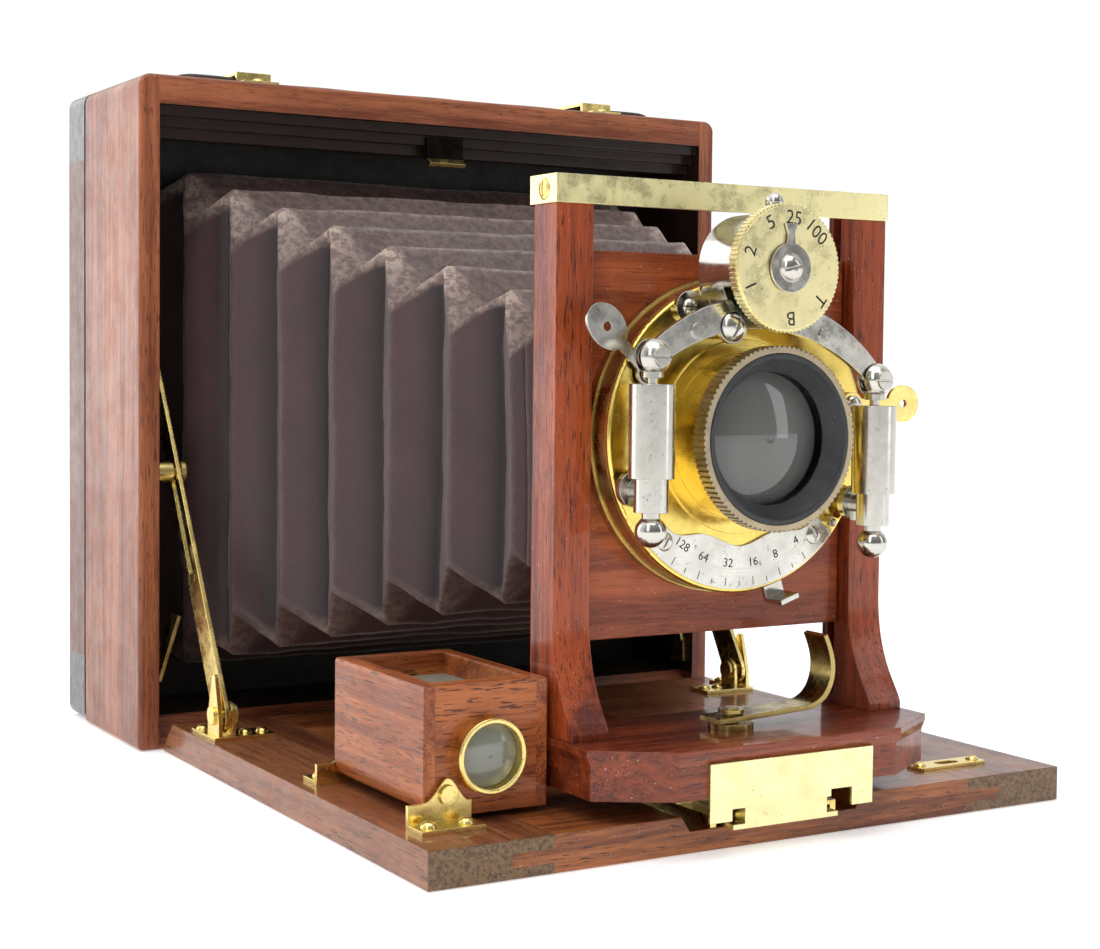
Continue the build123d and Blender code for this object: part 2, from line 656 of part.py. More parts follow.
# brass strap that ties the tops of the uprights
with BuildPart() as top_bar:
    with Locations((0, 0, bar_low)):
        with Locations((0, post_front + 0.9, 0)):
            Box(2 * post_outer + 0.6, 1.2, bar_high - bar_low, align=(Align.CENTER, Align.MAX, Align.MIN))
        for s in (-1, 1):
            with Locations((s * (post_outer - 0.9), post_front + 0.9, 0)):
                Box(1.2, 9.0, bar_high - bar_low, align=(
                    Align.MIN if s > 0 else Align.MAX, Align.MIN, Align.MIN))
    with Locations(Location((0, -117.8, 127.6), (0, 90, 0))):
        Cylinder(1.15, 100.0, mode=Mode.SUBTRACT)
top_bar.part.label = "top_bar"
export_step(top_bar.part, "parts/top_bar.step")

with BuildPart() as standard_screws:
    for s in (-1, 1):
        with Locations(Location((s * (post_outer + 0.3), -117.8, 127.6), (0, 90 * s, 0))):
            add(screw(2.2, 0.5, 6.0))
        with Locations((s * 36.6, -117.8, base_top)):
            Cylinder(1.45, 11.6)
standard_screws.part.label = "standard_screws"
export_step(standard_screws.part, "parts/standard_screws.step")

# brass runner under the base, and the bent plate on its front
with BuildPart() as clamp_saddle:
    with Locations((0, -129.0, 0)):
        with Locations((0, 0, 4.4)):
            Box(25.6, 30.0, 1.0, align=on_floor)
        with Locations((0, 0, 5.0)):
            Box(20.0, 30.0, base_bottom - 5.0, align=on_floor)
    with BuildSketch(facing(-145.4)):
        with Locations((0, 14.4)):
            Rectangle(39.6, 7.6)
        with Locations((-17.2, 9.0), (17.2, 9.0)):
            Rectangle(5.2, 4.4)
        with Locations((0, 10.95)):
            Rectangle(29.2, 0.9)
    extrude(amount=0.7)
    with Locations((-2.5, -144.9, 9.0)):
        Box(24.2, 1.8, 2.5, align=on_floor)
    with Locations((clamp_x, clamp_y, 0)):
        Cylinder(1.6, 40.0, mode=Mode.SUBTRACT)
clamp_saddle.part.label = "clamp_saddle"
export_step(clamp_saddle.part, "parts/clamp_saddle.step")

with BuildPart() as clamp_screw:
    with Locations((clamp_x, clamp_y, 0)):
        with Locations((0, 0, 4.7)):
            Cylinder(1.55, 20.6, align=on_floor)
        with Locations((0, 0, base_top)):
            Cylinder(4.6, 1.2, align=on_floor)
        with Locations((0, 0, base_top + 3.0)):
            Cylinder(2.6, 0.8, align=on_floor)
clamp_screw.part.label = "clamp_screw"
export_step(clamp_screw.part, "parts/clamp_screw.step")

# clamping lever: flat strip with an upturned finger end
lever_low = base_top + 1.4
with BuildPart() as clamp_lever:
    with BuildSketch(facing(clamp_y + 3.4)):
        with BuildLine():
            Line((-8.8, lever_low), (12.6, lever_low + 1.2))
            Spline((12.6, lever_low + 1.2), (19.6, 28.6), (18.0, 39.0),
                   tangents=((1.0, 0.06), (-0.5, 1.0)))
            Line((18.0, 39.0), (17.1, 38.6))
            Spline((17.1, 38.6), (18.5, 29.0), (12.5, lever_low + 2.2),
                   tangents=((0.5, -1.0), (-1.0, -0.06)))
            Line((12.5, lever_low + 2.2), (-8.8, lever_low + 1.0))
            Line((-8.8, lever_low + 1.0), (-8.8, lever_low))
        make_face()
    extrude(amount=6.8)
    with Locations((clamp_x, clamp_y, lever_low - 0.5)):
        Cylinder(1.65, 3.0, align=on_floor, mode=Mode.SUBTRACT)
clamp_lever.part.label = "clamp_lever"
export_step(clamp_lever.part, "parts/clamp_lever.step")

# ---------------------------------------------------------------- lens board and bellows

rear_cell_radius = 13.0
with BuildPart() as lens_board:
    with Locations((0, (board_front + board_back) / 2, (board_low + board_high) / 2)):
        Box(2 * post_inner - 0.8, board_back - board_front, board_high - board_low)
    with Locations((0, -116.3, (board_low + board_high) / 2)):
        Box(2 * post_inner + 3.8, 2.2, board_high - board_low)
    with Locations(Location((0, -116.3, lens_z), (90, 0, 0))):
        Cylinder(rear_cell_radius, 12.0, mode=Mode.SUBTRACT)
lens_board.part.label = "lens_board"
export_step(lens_board.part, "parts/lens_board.step")

# folded leather bellows, tapering from the partition to the lens board
pleats = 8
bellows_rear = 31.2
bellows_front = board_back
pitch = (bellows_rear - bellows_front) / pleats


def fold(step, grow):
    """Half width, foot and roof of one fold; sides and roof stand out on alternate folds."""
    t = step / (2 * pleats)
    out = step % 2
    half_x = 66.0 - 40.2 * t + (0.0 if out else 5.4) + grow
    high = 142.5 - 27.5 * t - (0.0 if out else 8.0) + grow
    low = 15.0 + 32.5 * t + (0.0 if out else 7.0) - grow
    return half_x, low, high


with BuildPart() as bellows:
    for grow, how in ((0.0, Mode.ADD), (-1.2, Mode.SUBTRACT)):
        for step in range(2 * pleats):
            for edge in (step, step + 1):
                half_x, low, high = fold(edge, grow)
                with BuildSketch(facing(bellows_rear - edge * pitch / 2)):
                    with Locations((0, (low + high) / 2)):
                        Rectangle(2 * half_x, high - low)
            loft(ruled=True, mode=how)
bellows.part.label = "bellows"
export_step(bellows.part, "parts/bellows.step")

with BuildPart() as rear_cell:
    with BuildSketch(facing(board_front, 0, lens_z)):
        Circle(rear_cell_radius - 0.05)
        Circle(11.0, mode=Mode.SUBTRACT)
    extrude(amount=-14.0)
    with BuildSketch(facing(board_back, 0, lens_z)):
        Circle(16.0)
        Circle(11.0, mode=Mode.SUBTRACT)
    extrude(amount=-2.2)
rear_cell.part.label = "rear_cell"
export_step(rear_cell.part, "parts/rear_cell.step")

# ---------------------------------------------------------------- shutter

shutter_axis = Axis((0, 0, lens_z), (0, 1, 0))
blade_bore = 10.5
pointer_angle = -71.5


def polar(radius, angle):
    """Point at a radius and an angle round the lens."""
    return (radius * math.cos(math.radians(angle)), radius * math.sin(math.radians(angle)))


with BuildPart() as shutter_case:
    with BuildSketch(facing(board_front, 0, lens_z)):
        Circle(32.0)
        Circle(blade_bore, mode=Mode.SUBTRACT)
    extrude(amount=2.2)
    with BuildSketch(facing(board_front - 2.2, 0, lens_z)):
        Circle(case_radius)
        Circle(case_radius - 1.3, mode=Mode.SUBTRACT)
    extrude(amount=board_front - 2.2 - case_front)
    # arc slot for the diaphragm pointer
    with BuildSketch(facing(-123.4, 0, lens_z)):
        with BuildLine():
            CenterArc((0, 0), 34.0, -124.0, 68.0)
            Line(polar(34.0, -56.0), polar(29.0, -56.0))
            CenterArc((0, 0), 29.0, -124.0, 68.0)
            Line(polar(29.0, -124.0), polar(34.0, -124.0))
        make_face()
    extrude(amount=1.8, mode=Mode.SUBTRACT)
shutter_case.part.label = "shutter_case"
export_step(shutter_case.part, "parts/shutter_case.step")

release_pivot = (-23.4, 12.6)
cocking_pivot = (27.6, 6.4)
with BuildPart() as shutter_face:
    with BuildSketch(facing(case_front, 0, lens_z)):
        Circle(case_radius)
        Circle(14.65, mode=Mode.SUBTRACT)
    extrude(amount=case_front - face_front)
    fillet(shutter_face.edges().group_by(Axis.Y)[0].sort_by(SortBy.LENGTH)[-1], 0.6)
    with BuildSketch(facing(face_front, 0, lens_z)):
        Circle(19.6)
        Circle(barrel_radius, mode=Mode.SUBTRACT)
        with Locations(release_pivot, cocking_pivot):
            Circle(1.0)
    extrude(amount=0.5)
    with BuildSketch(facing(face_front, 0, lens_z)):
        with Locations(release_pivot, cocking_pivot):
            Circle(1.0)
    extrude(amount=2.0)
shutter_face.part.label = "shutter_face"
export_step(shutter_face.part, "parts/shutter_face.step")

with BuildPart() as lens_barrel:
    with BuildSketch(facing(case_front + 1.0, 0, lens_z)):
        Circle(14.6)
        Circle(13.2, mode=Mode.SUBTRACT)
    extrude(amount=case_front + 1.0 - face_front)
    with BuildSketch(facing(face_front, 0, lens_z)):
        Circle(barrel_radius)
        Circle(13.2, mode=Mode.SUBTRACT)
    extrude(amount=face_front - ring_back)
lens_barrel.part.label = "lens_barrel"
export_step(lens_barrel.part, "parts/lens_barrel.step")

with BuildPart() as lens_ring:
    with BuildSketch(facing(ring_back, 0, lens_z)):
        Circle(ring_radius)
        Circle(16.9, mode=Mode.SUBTRACT)
        with PolarLocations(ring_radius + 0.1, 96):
            Rectangle(0.8, 0.5, mode=Mode.SUBTRACT)
    extrude(amount=ring_back - ring_front)
lens_ring.part.label = "lens_ring"
export_step(lens_ring.part, "parts/lens_ring.step")

# dark dished bezel inside the knurled ring
with BuildPart() as lens_bezel:
    with BuildSketch(sideways(0, 0, lens_z)):
        with BuildLine():
            Polyline((ring_back, 13.2), (ring_front + 0.3, 15.6), (ring_front - 0.2, 15.9))
            Polyline((ring_front - 0.2, 15.9), (ring_front - 0.2, 16.7), (ring_front + 0.3, 16.9))
            Polyline((ring_front + 0.3, 16.9), (ring_back, 16.9), (ring_back, 13.2))
        make_face()
    revolve(axis=shutter_axis)
lens_bezel.part.label = "lens_bezel"
export_step(lens_bezel.part, "parts/lens_bezel.step")

with BuildPart() as lens_glasses:
    with Locations(Location((0, -130.5, lens_z), (90, 0, 0))):
        add(dome(13.15, 3.7, 2.7))
    with Locations(Location((0, -112.5, lens_z), (-90, 0, 0))):
        add(dome(10.95, 4.5, 2.0))
lens_glasses.part.label = "lens_glasses"
export_step(lens_glasses.part, "parts/lens_glasses.step")

blade_stud = (14.0, 22.0)


def blade(side, y):
    """Half-disc shutter blade hung from a stud above the lens."""
    with BuildPart(mode=Mode.PRIVATE) as leaf:
        with BuildSketch(facing(y, 0, lens_z)):
            with BuildLine():
                Polyline((0.6 * -side, -14.0), (0.6 * -side, 14.0), (side * 10.6, 23.6))
                ThreePointArc((side * 10.6, 23.6), (side * 15.6, 25.0), (side * 17.2, 21.0))
                Line((side * 17.2, 21.0), (side * 13.4, 6.0))
                ThreePointArc((side * 13.4, 6.0), (side * 11.6, -8.0), (0.6 * -side, -14.0))
            make_face()
            with Locations((side * blade_stud[0], blade_stud[1])):
                Circle(1.15, mode=Mode.SUBTRACT)
        extrude(amount=0.3)
    return leaf.part


with BuildPart() as blade_left:
    add(blade(-1, -121.9))
blade_left.part.label = "blade_left"
export_step(blade_left.part, "parts/blade_left.step")

with BuildPart() as blade_right:
    add(blade(1, -122.5))
blade_right.part.label = "blade_right"
export_step(blade_right.part, "parts/blade_right.step")

# diaphragm ring with the pointer that turns it, and its leaves
with BuildPart() as iris_ring:
    with BuildSketch(facing(-123.6, 0, lens_z)):
        Circle(29.6)
        Circle(20.5, mode=Mode.SUBTRACT)
    extrude(amount=1.4)
    with Locations(Location((0, -124.3, lens_z), (0, -pointer_angle, 0))):
        with Locations((32.2, 0, 0)):
            Box(6.0, 1.2, 4.6)
        with Locations((35.0, -2.4, 0)):
            Box(1.0, 6.0, 4.6)
iris_ring.part.label = "iris_ring"
export_step(iris_ring.part, "parts/iris_ring.step")

with BuildPart() as iris_leaves:
    with BuildSketch(facing(-123.6, 0, lens_z)):
        Circle(20.4)
        RegularPolygon(8.6, 8, mode=Mode.SUBTRACT)
    extrude(amount=0.5)
iris_leaves.part.label = "iris_leaves"
export_step(iris_leaves.part, "parts/iris_leaves.step")

# nickelled scale over the lower part of the face
wave = [polar(r, a) for r, a in ((25.0, -41), (24.4, -52), (21.4, -64), (22.0, -90))]
wave += [polar(r, a) for r, a in ((21.4, -116), (24.4, -128), (25.0, -139))]
with BuildPart() as scale_plate:
    with BuildSketch(facing(face_front, 0, lens_z)):
        with BuildLine():
            CenterArc((0, 0), 30.8, -139.0, 98.0)
            Line(polar(30.8, -41), wave[0])
            Spline(wave)
            Line(wave[-1], polar(30.8, -139))
        make_face()
    extrude(amount=0.6)
scale_plate.part.label = "scale_plate"
export_step(scale_plate.part, "parts/scale_plate.step")

# air cylinders either side of the lens, each standing on a stud from the face
cylinder_sides = ((-1, 90.1), (1, 85.8))
with BuildPart() as cylinders:
    for side, top in cylinder_sides:
        x = side * cylinder_x
        with Locations((x, cylinder_y, top)):
            Cylinder(4.5, 18.0, align=hung)
            Cylinder(3.4, 24.5, align=hung)
        with Locations((x, cylinder_y, top - 28.2)):
            Sphere(3.1)
            Cylinder(1.8, 4.4, align=on_floor)
        with BuildSketch(facing(face_front, x, top - 20.4)):
            Circle(1.8)
        extrude(amount=6.0)
        with BuildSketch(facing(face_front - 1.6, x, top - 20.4)):
            Circle(3.6)
        extrude(amount=1.6)
    for side, top in cylinder_sides:
        with Locations((side * cylinder_x, cylinder_y, top + 0.1)):
            Cylinder(1.1, 6.0, align=hung, mode=Mode.SUBTRACT)
        with Locations((side * cylinder_x, cylinder_y, top - 1.5)):
            Cylinder(3.2, 14.0, align=hung, mode=Mode.SUBTRACT)
cylinders.part.label = "cylinders"
export_step(cylinders.part, "parts/cylinders.step")


def piston(side, top):
    """Piston, rod and slotted ball joint of one cylinder."""
    with BuildPart(mode=Mode.PRIVATE) as rod:
        with Locations((side * cylinder_x, cylinder_y, top)):
            Cylinder(1.0, 9.5, align=hung)
            with Locations((0, 0, -5.0)):
                Cylinder(2.9, 3.0, align=hung)
            Cylinder(1.0, 3.0, align=on_floor)
            with Locations((0, 0, 1.2)):
                Cylinder(2.1, 1.5, align=on_floor)
            with Locations((0, 0, 5.2)):
                Sphere(3.6)
            with Locations((0, 0, 2.5)):
                Box(9.0, 2.0, 9.0, align=on_floor, mode=Mode.SUBTRACT)
            with Locations(Location((0, 0, 5.2), (90, 0, 0))):
                Cylinder(1.0, 6.4)
                with Locations((0, 0, 3.3)):
                    Cylinder(1.9, 0.7)
                    Box(4.2, 0.45, 0.9, mode=Mode.SUBTRACT)
    return rod.part


with BuildPart() as piston_left:
    add(piston(-1, cylinder_sides[0][1]))
piston_left.part.label = "piston_left"
export_step(piston_left.part, "parts/piston_left.step")

with BuildPart() as piston_right:
    add(piston(1, cylinder_sides[1][1]))
piston_right.part.label = "piston_right"
export_step(piston_right.part, "parts/piston_right.step")

# rocking arm that joins the two ball joints over the lens
eyes = [(side * cylinder_x, top + 5.2) for side, top in cylinder_sides]
with BuildPart() as shutter_arm:
    with BuildSketch(facing(cylinder_y + 0.6)):
        with BuildLine():
            ThreePointArc((-28.4, 97.4), (-1.5, 107.2), (28.4, 93.1))
            Line((28.4, 93.1), (26.6, 89.0))
            ThreePointArc((26.6, 89.0), (-1.5, 101.0), (-26.6, 93.2))
            Line((-26.6, 93.2), (-28.4, 97.4))
        make_face()
        with Locations(*eyes):
            Circle(2.35)
        with Locations((arm_pivot_x, arm_pivot_z)):
            Circle(3.3)
            Circle(1.55, mode=Mode.SUBTRACT)
        with Locations(*eyes):
            Circle(1.8, mode=Mode.SUBTRACT)
    extrude(amount=1.2)
    with BuildSketch(facing(cylinder_y - 0.6)):
        with Locations((-17.4, 100.4), (13.6, 99.9)):
            Circle(1.5)
    extrude(amount=0.4)
shutter_arm.part.label = "shutter_arm"
export_step(shutter_arm.part, "parts/shutter_arm.step")

# drum of the speed train, its foot screwed to the face
foot_screws = [(-13.6, 105.2), (13.6, 105.2)]
housing_front = -138.8
with BuildPart() as speed_housing:
    with BuildSketch(facing(face_front)):
        with Locations((0, dial_z)):
            Circle(11.0)
        with Locations(*foot_screws):
            Circle(3.2)
        with BuildLine():
            Polyline((-13.6, 102.0), (13.6, 102.0), (9.0, 112.8), (-9.0, 112.8), (-13.6, 102.0))
        make_face()
        with Locations(*foot_screws):
            Circle(0.9, mode=Mode.SUBTRACT)
        with Locations((arm_pivot_x, arm_pivot_z)):
            Circle(2.5, mode=Mode.SUBTRACT)
    extrude(amount=1.1)
    with BuildSketch(facing(face_front, 0, dial_z)):
        Circle(11.0)
    extrude(amount=face_front - housing_front)
    with BuildSketch(facing(housing_front + 1.0, 0, dial_z)):
        Circle(11.4)
    extrude(amount=1.0)
    with BuildSketch(facing(housing_front + 1.4, 0, dial_z)):
        Circle(9.4)
    extrude(amount=-8.0, mode=Mode.SUBTRACT)
    # gate in the drum that the rocking arm passes through
    with Locations((0, cylinder_y - 0.2, 103.0)):
        Box(30.0, 3.0, 12.0, mode=Mode.SUBTRACT)
    with BuildSketch(facing(face_front, 0, dial_z)):
        Circle(1.6)
    extrude(amount=face_front + 142.2)
    with Locations((0.6, housing_front + 2.6, dial_z + 13.2)):
        Sphere(1.8)
        Cylinder(0.9, 3.4, align=hung)
speed_housing.part.label = "speed_housing"
export_step(speed_housing.part, "parts/speed_housing.step")

with BuildPart() as speed_dial:
    with BuildSketch(facing(-139.4, 0, dial_z)):
        Circle(dial_radius)
        Circle(1.65, mode=Mode.SUBTRACT)
        with PolarLocations(dial_radius + 0.05, 80):
            Rectangle(0.6, 0.45, mode=Mode.SUBTRACT)
    extrude(amount=2.2)
    with BuildSketch(facing(-141.6, 0, dial_z)):
        Circle(dial_radius - 0.5)
        Circle(1.65, mode=Mode.SUBTRACT)
    extrude(amount=0.4)
speed_dial.part.label = "speed_dial"
export_step(speed_dial.part, "parts/speed_dial.step")


def finger(pivot, tip, long, wide, tilt):
    """Small flat lever with a finger pad, turning on a stud of the face."""
    with BuildPart(mode=Mode.PRIVATE) as lever:
        with BuildSketch(facing(face_front - 0.7, 0, lens_z)):
            with Locations(pivot):
                Circle(2.6)
            with Locations(Location((tip[0], tip[1], 0), (0, 0, tilt))):
                Ellipse(long, wide)
            with BuildLine():
                stem = Line(pivot, tip)
            trace(stem, 2.4)
            with Locations(pivot):
                Circle(1.05, mode=Mode.SUBTRACT)
            with Locations(tip):
                Circle(0.9, mode=Mode.SUBTRACT)
        extrude(amount=0.8)
    return lever.part


with BuildPart() as release_lever:
    add(finger(release_pivot, (-33.0, 21.6), 5.2, 3.9, 135))
release_lever.part.label = "release_lever"
export_step(release_lever.part, "parts/release_lever.step")

with BuildPart() as cocking_lever:
    add(finger(cocking_pivot, (41.2, 6.6), 4.2, 3.9, 0))
cocking_lever.part.label = "cocking_lever"
export_step(cocking_lever.part, "parts/cocking_lever.step")


def front_screw(x, y, z, radius, head, depth, turn=0):
    """Slotted screw facing forward, its seat at y."""
    return Location((x, y, z), (90, 0, turn)) * screw(radius, head, depth)


with BuildPart() as shutter_screws:
    # pivot of the arm
    with BuildSketch(facing(face_front, arm_pivot_x, arm_pivot_z)):
        Circle(2.4)
    extrude(amount=7.6)
    with BuildSketch(facing(face_front - 7.6, arm_pivot_x, arm_pivot_z)):
        Circle(1.5)
    extrude(amount=2.0)
    add(front_screw(arm_pivot_x, cylinder_y - 0.9, arm_pivot_z, 2.9, 1.3, 0.2, 70))
    # scale plate, housing foot, lever studs and the small stop pin
    for angle, turn in ((-132, 60), (-48, -70)):
        x, z = polar(27.6, angle)
        add(front_screw(x, face_front - 0.6, lens_z + z, 1.9, 0.5, 0.0, turn))
    for x, z in foot_screws:
        add(front_screw(x, face_front - 1.1, z, 1.7, 0.8, 0.6))
    for x, z in (release_pivot, cocking_pivot):
        add(front_screw(x, face_front - 2.0, lens_z + z, 1.9, 0.7, 0.0))
    with BuildSketch(facing(face_front, 23.0, 61.4)):
        Circle(0.9)
    extrude(amount=1.4)
    # studs of the shutter blades
    with BuildSketch(facing(board_front - 2.2, 0, lens_z)):
        with Locations(blade_stud, (-blade_stud[0], blade_stud[1])):
            Circle(1.1)
    extrude(amount=2.2)
    # washer, index tongue and screw in the middle of the dial
    with BuildSketch(facing(-142.2, 0, dial_z)):
        Circle(4.8)
        with BuildLine():
            Polyline((-1.0, 4.0), (1.0, 4.0), (0.8, 6.6), (1.5, 8.6), (-1.5, 8.6), (-0.8, 6.6), (-1.0, 4.0))
        make_face()
    extrude(amount=0.5)
    add(front_screw(0, -142.7, dial_z, 2.7, 1.6, 0.0, 15))
shutter_screws.part.label = "shutter_screws"
export_step(shutter_screws.part, "parts/shutter_screws.step")
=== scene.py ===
"""Looks of a folding mahogany plate camera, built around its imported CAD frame. Metres."""
import math

import bmesh
import bpy
from mathutils import Matrix, Vector, noise


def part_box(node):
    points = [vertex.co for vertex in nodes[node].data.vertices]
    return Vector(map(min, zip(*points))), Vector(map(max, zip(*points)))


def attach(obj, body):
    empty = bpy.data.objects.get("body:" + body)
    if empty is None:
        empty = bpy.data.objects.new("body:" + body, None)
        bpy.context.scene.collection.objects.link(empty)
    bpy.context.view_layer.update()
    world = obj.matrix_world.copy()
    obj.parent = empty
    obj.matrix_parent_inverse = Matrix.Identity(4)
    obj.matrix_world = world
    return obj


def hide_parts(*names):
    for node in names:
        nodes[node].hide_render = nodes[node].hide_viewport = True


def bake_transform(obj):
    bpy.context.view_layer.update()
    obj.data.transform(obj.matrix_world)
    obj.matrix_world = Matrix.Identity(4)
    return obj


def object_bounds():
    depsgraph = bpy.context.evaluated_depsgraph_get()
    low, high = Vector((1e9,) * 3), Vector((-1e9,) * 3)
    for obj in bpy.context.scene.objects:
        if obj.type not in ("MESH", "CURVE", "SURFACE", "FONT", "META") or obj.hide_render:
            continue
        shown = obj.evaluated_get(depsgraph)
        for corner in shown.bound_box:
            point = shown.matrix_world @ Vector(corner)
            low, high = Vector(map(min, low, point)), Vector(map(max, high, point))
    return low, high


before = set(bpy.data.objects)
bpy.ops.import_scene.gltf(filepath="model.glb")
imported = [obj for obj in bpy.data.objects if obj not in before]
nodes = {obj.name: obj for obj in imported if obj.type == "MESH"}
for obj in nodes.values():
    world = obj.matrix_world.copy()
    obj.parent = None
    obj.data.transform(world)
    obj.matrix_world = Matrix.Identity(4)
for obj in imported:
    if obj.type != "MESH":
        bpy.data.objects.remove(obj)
cad_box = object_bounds()
scene = bpy.context.scene
scene.view_settings.view_transform = "Standard"

MM = 0.001
case_low, case_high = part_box("body_case")
board_low, board_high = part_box("lens_board")
ring_low, ring_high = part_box("lens_ring")
dial_low, dial_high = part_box("speed_dial")
lens_z = (ring_low.z + ring_high.z) / 2
dial_z = (dial_low.z + dial_high.z) / 2
INNER_X = case_high.x - 5 * MM
INNER_LOW = 7.2 * MM
INNER_HIGH = case_high.z - 7 * MM
SKIN = 0.05 * MM
ROOF_CLIP_LIP = 145.9 * MM
LENS_TUBE_RADIUS = 13.9 * MM
BACK_STILE_X = 72 * MM
SCREEN_STILE_X = 62.5 * MM


# ---------------------------------------------------------------- material tools

SOCKETS = {
    "color": "Base Color", "metallic": "Metallic", "rough": "Roughness", "ior": "IOR",
    "coat": "Coat Weight", "coat_rough": "Coat Roughness", "sheen": "Sheen Weight",
    "sheen_rough": "Sheen Roughness", "transmission": "Transmission Weight",
    "specular": "Specular IOR Level", "normal": "Normal", "coat_normal": "Coat Normal",
    "emission": "Emission Strength",
}


class Look:
    """A Principled material and short names for the procedural nodes that feed it."""

    def __init__(self, name, **fixed):
        self.material = bpy.data.materials.new(name)
        self.material.use_nodes = True
        self.tree = self.material.node_tree
        self.surface = self.tree.nodes["Principled BSDF"]
        for key, value in fixed.items():
            self.surface.inputs[SOCKETS[key]].default_value = value

    def put(self, **linked):
        for key, output in linked.items():
            self.tree.links.new(output, self.surface.inputs[SOCKETS[key]])
        return self

    def add(self, kind, inputs=(), **settings):
        made = self.tree.nodes.new(kind)
        for key, value in settings.items():
            setattr(made, key, value)
        for key, value in dict(inputs).items():
            if isinstance(value, bpy.types.NodeSocket):
                self.tree.links.new(value, made.inputs[key])
            else:
                made.inputs[key].default_value = value
        return made

    def place(self):
        return self.add("ShaderNodeTexCoord").outputs["Object"]

    def scaled(self, x, y, z, vector=None):
        vector = vector or self.place()
        return self.add("ShaderNodeVectorMath", {0: vector, 1: (x, y, z)},
                        operation="MULTIPLY").outputs[0]

    def noise(self, scale, detail=4.0, rough=0.5, vector=None, distortion=0.0):
        return self.add("ShaderNodeTexNoise", {
            "Vector": vector or self.place(), "Scale": scale, "Detail": detail,
            "Roughness": rough, "Distortion": distortion}).outputs["Fac"]

    def cells(self, scale):
        """Distance to the nearest edge between cells."""
        return self.add("ShaderNodeTexVoronoi", {"Vector": self.place(), "Scale": scale},
                        feature="DISTANCE_TO_EDGE").outputs["Distance"]

    def band(self, value, low, high, to_low=0.0, to_high=1.0):
        return self.add("ShaderNodeMapRange", {
            "Value": value, "From Min": low, "From Max": high,
            "To Min": to_low, "To Max": to_high}, interpolation_type="SMOOTHSTEP").outputs[0]

    def math(self, operation, a, b=0.0):
        return self.add("ShaderNodeMath", {0: a, 1: b}, operation=operation).outputs[0]

    def mix(self, share, a, b):
        return self.add("ShaderNodeMix", {0: share, 6: a, 7: b}, data_type="RGBA").outputs[2]

    def axis(self, name, vector=None):
        split = self.add("ShaderNodeSeparateXYZ", {0: vector or self.place()})
        return split.outputs[name]

    def bump(self, height, distance, strength=1.0, normal=None):
        inputs = {"Height": height, "Distance": distance, "Strength": strength}
        if normal is not None:
            inputs["Normal"] = normal
        return self.add("ShaderNodeBump", inputs).outputs[0]

    def rounded(self, radius):
        """Softened normal and a mask that is 1 on the edges it softens."""
        soft = self.add("ShaderNodeBevel", {"Radius": radius}, samples=4).outputs[0]
        flat = self.add("ShaderNodeNewGeometry").outputs["Normal"]
        same = self.add("ShaderNodeVectorMath", {0: soft, 1: flat}, operation="DOT_PRODUCT")
        return soft, self.band(same.outputs["Value"], 0.995, 0.90)

    def rings(self, centre, scale):
        """Radius and a vector that varies only with the radius, about an axis along Y."""
        away = self.add("ShaderNodeVectorMath", {0: self.place(), 1: centre}, operation="SUBTRACT")
        flat = self.scaled(1, 0, 1, away.outputs[0])
        radius = self.add("ShaderNodeVectorMath", {0: flat}, operation="LENGTH").outputs["Value"]
        turned = self.add("ShaderNodeCombineXYZ", {0: self.math("MULTIPLY", radius, scale)})
        return radius, turned.outputs[0]


def rgb(*values):
    return (*values, 1.0)


